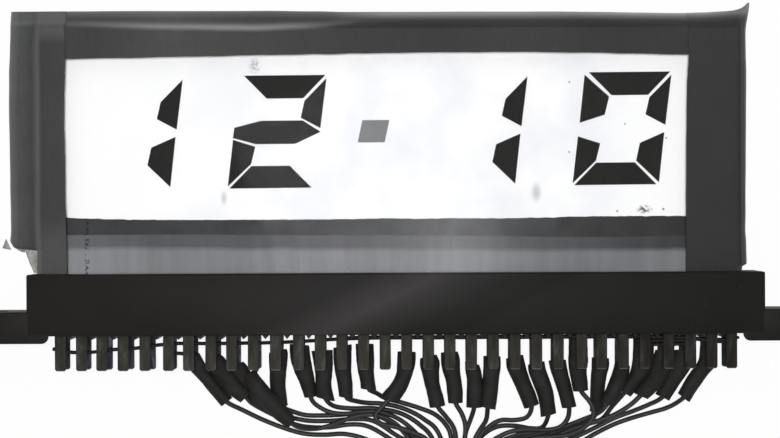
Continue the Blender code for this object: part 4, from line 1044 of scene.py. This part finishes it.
class LCD_OT_tapes(MakesPiece, bpy.types.Operator):
    """Make the binding tapes over the top and sides of the glass"""

    bl_idname = "lcd.tapes"
    bl_label = "Binding tapes"

    def make(self, settings):
        tape = pvc_tape(settings)
        for side, steps, place in (
            ("top", 240, self.top), ("left", 150, self.left), ("right", 150, self.right),
        ):
            piece = self.tape(side, steps, place, tape)
            thick = piece.modifiers.new("thickness", "SOLIDIFY")
            thick.thickness = settings.tape_thickness
            thick.offset = math.copysign(1.0, piece.data.polygons[0].normal.z)

    def tape(self, side, steps, place, material):
        """One tape, with the distance in from its rim and out from the glass as its UV map."""
        bm = bmesh.new()
        bmesh.ops.create_grid(bm, x_segments=steps, y_segments=56, size=1.0)
        spots = {}
        for vert in bm.verts:
            u, v = (vert.co.x + 1) / 2, (vert.co.y + 1) / 2
            *vert.co, inward, out = place(u, v)
            spots[vert] = (inward, out)
        layer = bm.loops.layers.uv.new("fold")
        for face in bm.faces:
            for loop in face.loops:
                loop[layer].uv = spots[loop.vert]
        return finish(f"binding_tape_{side}", bm, material, f"tape_{side}", 70)

    def top(self, u, v):
        """A point of the top tape: its place, and its distances for the UV map."""
        x = GLASS[0][0] + u * (GLASS[1][0] - GLASS[0][0])
        cover = between(TOP_COVER, x) + 0.07 * MM * waver(x / MM * 0.3, 3)
        flange = between(TOP_FLANGE, x)
        out, share = fold(v, cover, flange)
        ripple = waver(x / MM * 0.11, out / MM * 0.35, 1)
        height = height_at(v, share, 0.0)
        height += 0.07 * MM * ripple * (1 if v <= 0.5 else -1) * min(v, 1 - v)
        y = GLASS[1][1] + out + 0.05 * MM * ripple
        return x, y, height, flange - out, out - between(CREASE_SHIFT, x)

    def side(self, u, v, edge, sign, cover, flange, shoulder, seed):
        """A side tape: narrow below its shoulder, and laid over the top tape near its upper end,
        where its fold follows the one below it.
        """
        foot, glass_top, narrow = HOUSING_TOP + 0.03 * MM, GLASS[1][1], 0.5 * MM
        y = foot + u * (SIDE_TOP - foot)
        wide = ease(y, shoulder - 0.3 * MM, shoulder)
        over = ease(y, glass_top - 9.5 * MM, glass_top - 5.2 * MM)  # 1 on the top tape
        beyond = max(0.0, (y - glass_top) / (3.4 * MM))  # share of the top tape's flange
        lift = (0.27 - 0.06 * ease(beyond, 0, 0.5)) * MM * over
        reach = narrow + (between(flange, y) - narrow) * wide
        out, share = fold(v, between(cover, y), reach)
        if beyond:
            share = min(share, next((
                a.y + (b.y - a.y) * (beyond - a.x) / (b.x - a.x)
                for a, b in zip(FOLD_SHAPE, FOLD_SHAPE[1:]) if beyond <= b.x
            ), 0.0))
        wave = waver(y / MM * 0.12, out / MM * 0.3, seed)
        height = height_at(v, share, lift)
        height += 0.06 * MM * wave * (1 if v <= 0.5 else -1) * min(v, 1 - v)
        tuck = 0.5 * waver(y / MM * 0.5, seed) * MM * (1 - wide)
        out += (0.08 * wave * MM + tuck * 0.4) * ease(out, 0, 1.5 * MM)
        return edge + sign * out, y, height, reach - out, out

    def left(self, u, v):
        """The left tape, ragged where its flange is cut."""
        form = GLASS[0][0], -1, LEFT_COVER, LEFT_FLANGE, 10.5 * MM, 20
        x, y, height, inward, out = self.side(u, v, *form)
        ragged = ease(out, 0, 0.4 * MM) * ease(y, 12.2 * MM, 10.5 * MM)
        corner = ease(out, 4.5 * MM, 5.4 * MM) ** 2 * ease(y, 13 * MM, 10.5 * MM)
        y += ragged * 0.25 * MM * waver(x / MM * 0.9, 0, 7) + 0.9 * MM * corner
        return x, y, height, inward, out + 0.42 * MM

    def right(self, u, v):
        """The right tape, pinched at its upper corner."""
        form = GLASS[1][0], 1, RIGHT_COVER, RIGHT_FLANGE, 6.8 * MM, 33
        x, y, height, inward, out = self.side(u, v, *form)
        pinch = ease(y, 47 * MM, 53.9 * MM) ** 3 * ease(out, -1 * MM, 1.4 * MM)
        x += 0.55 * MM * pinch
        top = between(RIGHT_TOP, x) - SIDE_TOP
        return x, y + top * ease(y, 49 * MM, 53.98 * MM), height + 0.4 * MM * pinch, inward, out


def float_glass():
    """Float glass: clear and polished, faintly green, so all but its gloss is see-through."""
    material, tree = start_material("float_glass")
    tint = grain(tree, 25, stops={0.3: "#454e49", 0.7: "#525b56"})
    return surface(material, tint, 0.04, alpha=0.006)


def polariser_film():
    """Laminated polariser sheet: nearly clear here, with a soft gloss and a few fine marks."""
    material, tree = start_material("polariser_film")
    marks = grain(tree, 3.3, 4, stops={0.3: "#55585a", 0.7: "#7c7f82"})
    return surface(material, marks, 0.45, alpha=0.006)


def diffuser_film():
    """The rear film: milky white and slightly mottled."""
    material, tree = start_material("diffuser_film")
    milk = grain(tree, 8, 4, stops={0.3: "#dcdcd8", 0.7: "#ecece9"})
    return surface(material, milk, 0.55, dents=(1.1, 3, 0.1, 0.05))


WINDOW = ("X", -60, 54)  # mm: the run along which the cell's finishes change

# mm: the middle of each mark on the cell, its half width and half height, and its shade
MARKS = (
    (46.1, 17.0, 1.7, 1.0, "#5c5c5e"),
    (49.6, 17.05, 0.3, 0.3, "#70"),
    (41.06, 16.7, 0.3, 0.25, "#80"),
    (32.3, 40.65, 0.25, 0.25, "#90"),
    (32.2, 27.7, 0.25, 0.25, "#90"),
    (50.2, 30.2, 0.3, 0.25, "#9a"),
    (42.6, 32.85, 0.25, 0.25, "#9a"),
    (26.1, 20.3, 1.1, 2.2, "#d4d4d8"),
    (-25.85, 43.9, 1.3, 1.8, "#c4c4c8"),
    (-31.7, 19.5, 0.7, 1.6, "#dadadc"),
)


def cell_white():
    """The unlit cell: matt white, with faint smudges and a few specks of dirt."""
    material, tree = start_material("cell_white")
    face = grain(tree, 14, 5, 0.6, stops={0.38: "#f2f3f8", 0.6: "#ff"})
    ends = across(tree, *WINDOW, {0: "#ff", 0.12: "#f0", 0.24: "#a0", 0.32: "#00", 0.82: "#00",
        0.92: "#e0", 1: "#ff"})
    face = add_node(tree, "Mix", {0: ends, 6: face, 7: rgba("#ff")}, **MIX)
    place = add_node(tree, "TexCoord").outputs["Object"]
    ragged = grain(tree, 0.55, 2, stops={0.44: "#ff", 0.6: "#00"})
    for x, y, wide, high, shade in MARKS:
        scale = (1 / (wide * MM), 1 / (high * MM), 0)
        near = {0: place, 1: scale, 2: (-x / wide, -y / high, 0)}
        near = add_node(tree, "VectorMath", near, operation="MULTIPLY_ADD")
        reach = add_node(tree, "VectorMath", {0: near}, operation="LENGTH").outputs[1]
        inside = add_node(tree, "MapRange", {"Value": reach, "From Min": 1.0, "From Max": 0.3})
        if wide > 1.2:
            inside = add_node(tree, "Math", {0: inside, 1: ragged}, operation="MULTIPLY")
        dirt = add_node(tree, "Mix", {0: 1.0, 6: face, 7: rgba(shade)}, **MULTIPLY)
        face = add_node(tree, "Mix", {0: inside, 6: face, 7: dirt}, **MIX)
    return surface(material, face, 0.5, 0.15)


def pinholes(tree):
    """A line of dark pinholes near the left end, as a multiplier."""
    bell = {0: "#00", 0.4: "#ff", 0.6: "#ff", 1: "#00"}
    line = across(tree, "X", -57.6, -56.4, bell)
    holes = grain(tree, 0.45, 2, stops={0.5: "#ff", 0.58: "#4c"})
    return add_node(tree, "Mix", {0: line, 6: rgba("#ff"), 7: holes}, **MIX)


def resin_tones(tree):
    """The seal's greys, cloudy and paler right of the middle."""
    body = across(tree, *WINDOW, {0: "#444447", 0.1: "#424345", 0.27: "#474849", 0.38: "#4f4f52",
        0.5: "#595a5d", 0.62: "#6f7072", 0.7: "#5c5d5f", 0.8: "#434344", 1: "#383738"})
    for pattern in (
        grain(tree, 4.5, 4, stops={0.3: "#da", 0.7: "#ff"}),
        pinholes(tree),
    ):
        body = add_node(tree, "Mix", {0: 1.0, 6: body, 7: pattern}, **MULTIPLY)
    return body


def seal_resin():
    """Cured seal and mask seen through the glass: mid to dark grey with a cloudy edge."""
    material, tree = start_material("seal_resin")
    return surface(material, resin_tones(tree), 0.8, 0.08)


def ledge_oxide():
    """Etched oxide on the ledge of the front glass: a pale strip by the connector and a darker
    one where the rear plate begins, with faint streaks and a line of dark pinholes.
    """
    material, tree = start_material("ledge_oxide")
    pale = across(tree, *WINDOW, {0: "#949599", 0.13: "#888a8d", 0.3: "#8f9195", 0.42: "#8f9095",
        0.52: "#8e8f93", 0.62: "#97989c", 0.72: "#8a8c8f", 0.82: "#808185", 1: "#87888b"})
    dark = across(tree, *WINDOW, {0: "#6e6f72", 0.13: "#616266", 0.3: "#626366", 0.42: "#65666a",
        0.52: "#707174", 0.62: "#7f8083", 0.72: "#666769", 0.85: "#545559", 1: "#444447"})
    spread = across(tree, *WINDOW, {0.21: "#00", 0.37: "#93", 0.5: "#aa", 0.63: "#c2", 0.73: "#e8",
        0.86: "#ff", 0.93: "#f2", 1: "#d5"})
    height = {0: spread, 1: 0.83 * MM, 2: position(tree)["Y"]}
    height = add_node(tree, "Math", height, operation="MULTIPLY_ADD")
    wander = {0: grain(tree, 17), 1: 1.2 * MM, 2: height}
    wander = add_node(tree, "Math", wander, operation="MULTIPLY_ADD")
    edge = across(tree, wander, 10.3, 11.3)
    body = add_node(tree, "Mix", {0: edge, 6: pale, 7: dark}, **MIX)
    for pattern in (
        grain(tree, 2, 3, 0.6, (1, 0.05, 1), {0.3: "#eb", 0.7: "#ff"}),
        grain(tree, 9, 3, 0.5, (0.3, 1, 1), {0.3: "#ec", 0.7: "#ff"}),
        pinholes(tree),
    ):
        body = add_node(tree, "Mix", {0: 1.0, 6: body, 7: pattern}, **MULTIPLY)
    foot = SEAL[0][1] / MM
    squeezed = across(tree, height, foot - 0.02, foot + 0.1)
    body = add_node(tree, "Mix", {0: squeezed, 6: body, 7: resin_tones(tree)}, **MIX)
    return surface(material, body, 0.8, 0.08)


def segment(name, colour):
    """Twisted crystal over a segment: flat and even, with a trace of cloud."""
    material, tree = start_material(name)
    cloud = grain(tree, 3.8, 4, stops={0.3: "#e9", 0.7: "#ff"})
    body = add_node(tree, "Mix", {0: 1.0, 6: colour, 7: cloud}, **MULTIPLY)
    return surface(material, body, 0.8, 0.08)


# The digits that show, the bars that each lights, and in mm how far apart digits and pairs are
DIGITS = "1210"
LIT = {"0": "abcdef", "1": "bc", "2": "abged"}
DIGIT_PITCH = 26.6
PAIR_PITCH = 63.8
# The row's middle in mm, and in degrees its tilt and the slants of the digits and of the dot
ROW_MIDDLE, ROW_TILT = (-3.0, 31.7), 0.3
DIGIT_SLANT, DOT_SLANT = 7.0, 12.5
DOT_MIDDLE = -0.95
DOT = [(-2.5, -2.05), (2.5, -2.05), (2.5, 2.05), (-2.5, 2.05)]
SEAL_WIDTH = 2.5 * MM
# mm: the seal's inner edge along the bottom of the window
SEAL_EDGE = [(-62, 15.98), (-57, 15.78), (-52, 15.62), (-46, 15.5), (-36, 15.43), (-20, 15.42),
    (-8, 15.46), (-2, 15.57), (5, 15.46), (10, 15.54), (19, 15.47), (28, 15.58), (33, 15.72),
    (40, 15.77), (52, 15.77)]


# mm: the outline of each of a digit's seven bars, about its middle and before it is slanted
BARS = {
    "a": [(-7.5, 10.5), (7.55, 10.5), (3.91, 6.23), (-2.82, 6.23)],
    "b": [(7.82, 9.88), (4.23, 5.75), (3.88, 2.63), (7.74, 0.67)],
    "c": [(7.77, -9.95), (3.1, -5.91), (3.43, -2.64), (7.7, -0.7)],
    "d": [(-7.85, -10.35), (7.35, -10.32), (2.85, -6.23), (-4.25, -6.23)],
    "e": [(-8.18, -9.97), (-4.35, -5.85), (-3.93, -2.66), (-8.18, -1.34)],
    "f": [(-8.23, 10.03), (-3.25, 5.97), (-3.69, 2.64), (-8.15, 1.18)],
    "g": [(7.86, 0), (4.28, 2.12), (-3.45, 2.12), (-8.18, 0.87), (-8.26, -1.0), (-3.9, -2.18),
          (3.39, -2.18)],
}


def place_pattern(outline, middle, slant):
    """Slants an outline, moves it along the row of digits and tilts the row, into metres."""
    sine, cosine = math.sin(math.radians(ROW_TILT)), math.cos(math.radians(ROW_TILT))
    lean = math.tan(math.radians(slant))
    along_row = [(x + y * lean + middle, y) for x, y in outline]
    x, y = ROW_MIDDLE
    return [
        ((x + u * cosine - v * sine) * MM, (y + u * sine + v * cosine) * MM) for u, v in along_row
    ]


class LCD_OT_cell(MakesPiece, bpy.types.Operator):
    """Make the cell: glass, films, seal, electrode ledge and the segments that are on"""

    bl_idname = "lcd.cell"
    bl_label = "Cell"

    def make(self, settings):
        glass = float_glass()
        dress("front_glass", glass)
        dress("rear_glass", glass)
        dress("front_polariser", polariser_film())
        dress("rear_polariser", diffuser_film())
        self.face()
        self.segments(settings)
        self.seal()
        self.ledge()

    def face(self):
        """The pale layer behind the segments, which reaches under the seal."""
        bm = bmesh.new()
        low = (CELL[0][0], CELL[0][1] - 1.0 * MM, CELL[0][2] + 0.02 * MM)
        block(bm, low, (CELL[1][0], CELL[1][1], CELL[0][2] + 0.12 * MM))
        round_edges(bm, 0.03 * MM, 1)
        finish("cell_face", bm, cell_white(), "liquid_crystal")

    def segments(self, settings):
        firsts = (-PAIR_PITCH - DIGIT_PITCH) / 2, (PAIR_PITCH - DIGIT_PITCH) / 2
        middles = [first + i * DIGIT_PITCH for first in firsts for i in (0, 1)]
        bars = [
            place_pattern(BARS[bar], middle, DIGIT_SLANT)
            for digit, middle in zip(DIGITS, middles)
            for bar in LIT[digit]
        ]
        dot = [place_pattern(DOT, DOT_MIDDLE, DOT_SLANT)]
        for name, outlines, finish_name, colour in (
            ("lit_segments", bars, "segment_on", settings.segment_colour),
            ("centre_dot", dot, "segment_dim", settings.dim_colour),
        ):
            bm = bmesh.new()
            for outline in outlines:
                slab(bm, outline, CELL[0][2] + 0.1 * MM, CELL[1][2])
            finish(name, bm, segment(finish_name, (*colour, 1)), "liquid_crystal")

    def seal(self):
        """The seal's lower run, whose inner edge wanders as squeezed resin does, and the rest."""
        resin = seal_resin()
        low, high = SEAL
        bm = bmesh.new()
        bmesh.ops.create_grid(bm, x_segments=420, y_segments=4, size=1.0)
        for vert in bm.verts:
            u, v = (vert.co.x + 1) / 2, (vert.co.y + 1) / 2
            x = low[0] + u * (high[0] - low[0])
            broad, fine = waver(x / MM * 0.7, 2), waver(x / MM * 1.9, 5)
            inner = between(SEAL_EDGE, x) + (0.12 * broad + 0.08 * fine) * MM
            foot = low[1] + 0.1 * MM * waver(x / MM * 0.07, 9)
            vert.co = (x, foot + v * (inner - foot), high[2])
        finish("seal_mask", bm, resin, "cell_seal")
        bm = bmesh.new()
        left, right, top = low[0] + SEAL_WIDTH, high[0] - SEAL_WIDTH, high[1] - SEAL_WIDTH
        for a, b in (
            ((low[0], low[1] + SEAL_WIDTH), (left, high[1])),
            ((right, low[1] + SEAL_WIDTH), high[:2]),
            ((left, top), (right, high[1])),
        ):
            rounded_block(bm, (*a, low[2]), (*b, high[2]), 0.08 * MM)
        finish("seal_frame", bm, resin, "cell_seal")

    def ledge(self):
        """The strip below the seal, just under the front glass."""
        bm = bmesh.new()
        z = GLASS[0][2] - 0.1 * MM
        low = (GLASS[0][0] + 0.4 * MM, GLASS[0][1] + 0.3 * MM, z)
        block(bm, low, (GLASS[1][0] - 0.4 * MM, SEAL[0][1] + 0.1 * MM, z + 0.05 * MM))
        finish("electrode_ledge", bm, ledge_oxide(), None)


def nylon():
    """Moulded nylon: black, with a soft gloss."""
    material, tree = start_material("nylon_tie")
    body = grain(tree, 2, stops={0.3: "#17", 0.7: "#20"})
    return surface(material, body, 0.36, dents=(0.7, 3, 0.1, 0.05))


# mm: half width, half length, bottom, top and rounding of the tie's head and of the tab on it
TIE_HEAD = ((2.3, 1.8, 2.9, 6.2, 0.4), (0.45, 1.1, 6.1, 6.35, 0.08))


class LCD_OT_tie(MakesPiece, bpy.types.Operator):
    """Make the cable tie round the loom"""

    bl_idname = "lcd.tie"
    bl_label = "Loom tie"

    def make(self, settings):
        middle = (Vector(LOOM_START) * MM).lerp(Vector(LOOM_ROUTE[0]) * MM, 0.6)
        band = bmesh.new()
        inner, outer, half, flat = 3.25 * MM, 4.0 * MM, 1.2 * MM, 3.3 / 4.0
        profile = [(inner, -half), (outer, -half), (outer, half), (inner, half)]
        verts = [band.verts.new((r, y, 0)) for r, y in profile]
        edges = [band.edges.new((a, b)) for a, b in zip(verts, verts[1:] + verts[:1])]
        bmesh.ops.spin(band, geom=[*edges, *verts], cent=(0, 0, 0), axis=(0, 1, 0),
            angle=2 * math.pi, steps=56, use_merge=True, use_normal_flip=False,
            use_duplicate=False)
        bmesh.ops.scale(band, verts=band.verts, vec=(1, 1, flat))
        bmesh.ops.recalc_face_normals(band, faces=band.faces)
        round_edges(band, 0.18 * MM, 2, 60)
        bm = bmesh.new()
        join(bm, band)
        for x, y, low, high, curve in TIE_HEAD:
            corners = (-x * MM, -y * MM, low * MM), (x * MM, y * MM, high * MM)
            rounded_block(bm, *corners, curve * MM)
        bmesh.ops.translate(bm, verts=bm.verts, vec=middle)
        finish("cable_tie", bm, nylon(), "loom_tie")


def torn_film():
    """Bits of clear adhesive film: grey, and darker where they crumple."""
    material, tree = start_material("torn_film")
    gum = grain(tree, 1.4, 4, stops={0.35: "#4f4d4a", 0.65: "#85827d"})
    return surface(material, gum, 0.4, dents=(0.8, 3, 0.5, 0.1), alpha=0.72)


# mm: outlines of the torn film at the left tape's cut flange
SCRAPS = (
    ((-68.75, 10.9), (-65.4, 10.9), (-65.4, 5.7), (-66.85, 5.75), (-67.25, 6.6), (-67.85, 8.0),
     (-68.35, 9.5)),
    ((-71.98, 12.17), (-71.1, 10.04), (-72.69, 10.32)),
    ((-70.2, 10.35), (-68.5, 10.58), (-68.5, 9.56), (-69.27, 9.75), (-69.8, 10.03)),
)


class LCD_OT_scraps(MakesPiece, bpy.types.Operator):
    """Make the torn film under the left tape's cut flange"""

    bl_idname = "lcd.scraps"
    bl_label = "Torn film"

    def make(self, settings):
        bm = bmesh.new()
        for outline in SCRAPS:
            slab(bm, [(x * MM, y * MM) for x, y in outline], 3.5 * MM, 3.58 * MM)
        bmesh.ops.triangulate(bm, faces=bm.faces)
        bmesh.ops.subdivide_edges(bm, edges=bm.edges, cuts=3, use_grid_fill=True)
        dent(bm.verts, 0.1, 0.9)
        finish("torn_film", bm, torn_film(), None)


def length(name, description, default):
    return bpy.props.FloatProperty(name=name, description=description, default=default,
        unit="LENGTH")


def tint(name, description, code):
    return bpy.props.FloatVectorProperty(name=name, description=description,
        default=rgba(code)[:3], subtype="COLOR", min=0, max=1)


class DisplaySettings(bpy.types.PropertyGroup):
    """Sizes and colours that a user may change."""

    lead_diameter: length("Lead diameter", "Across a lead's insulation", 0.9 * MM)
    bare_end: length("Bare end", "Length of tinned conductor at each lead's end", 4.0 * MM)
    bus_diameter: length("Bus wire diameter", "Across the wires on the front tails", 0.7 * MM)
    sleeve_diameter: length("Sleeve diameter", "Across a sleeve where it is round", 2.9 * MM)
    tape_thickness: length("Tape thickness", "Thickness of the binding tape", 0.2 * MM)
    tape_colour: tint("Tape colour", "Colour of the binding tape at its palest", "#4e4e4e")
    moulding_colour: tint("Moulding colour", "Colour of the connector housing", "#100f0e")
    lead_colour: tint("Lead colour", "Colour of the leads' insulation", "#1a1a19")
    sleeve_colour: tint("Sleeve colour", "Colour of the heat-shrink sleeves", "#171614")
    segment_colour: tint("Segment colour", "Colour of the segments that are on", "#242322")
    dim_colour: tint("Dot colour", "Colour of the half-lit dot", "#858688")


class LCD_PT_pieces(bpy.types.Panel):
    """Lists the display's pieces and their settings"""

    bl_idname = "LCD_PT_pieces"
    bl_label = "Liquid crystal display"
    bl_space_type = "VIEW_3D"
    bl_region_type = "UI"
    bl_category = "Display"

    def draw(self, context):
        for name in DisplaySettings.__annotations__:
            self.layout.prop(context.scene.lcd, name)
        for operator in OPERATORS:
            self.layout.operator(operator.bl_idname)


OPERATORS = (
    LCD_OT_stage,
    LCD_OT_leads,
    LCD_OT_tie,
    LCD_OT_sleeves,
    LCD_OT_tails,
    LCD_OT_bus_wires,
    LCD_OT_housing,
    LCD_OT_tapes,
    LCD_OT_scraps,
    LCD_OT_cell,
)
CLASSES = (DisplaySettings, *OPERATORS, LCD_PT_pieces)


def register():
    for cls in CLASSES:
        bpy.utils.register_class(cls)
    bpy.types.Scene.lcd = bpy.props.PointerProperty(type=DisplaySettings)


def unregister():
    del bpy.types.Scene.lcd
    for cls in reversed(CLASSES):
        bpy.utils.unregister_class(cls)


def main():
    register()
    for operator in OPERATORS:
        group, name = operator.bl_idname.split(".")
        getattr(getattr(bpy.ops, group), name)()
    bpy.context.scene.view_settings.view_transform = "Standard"


if __name__ == "__main__":
    main()
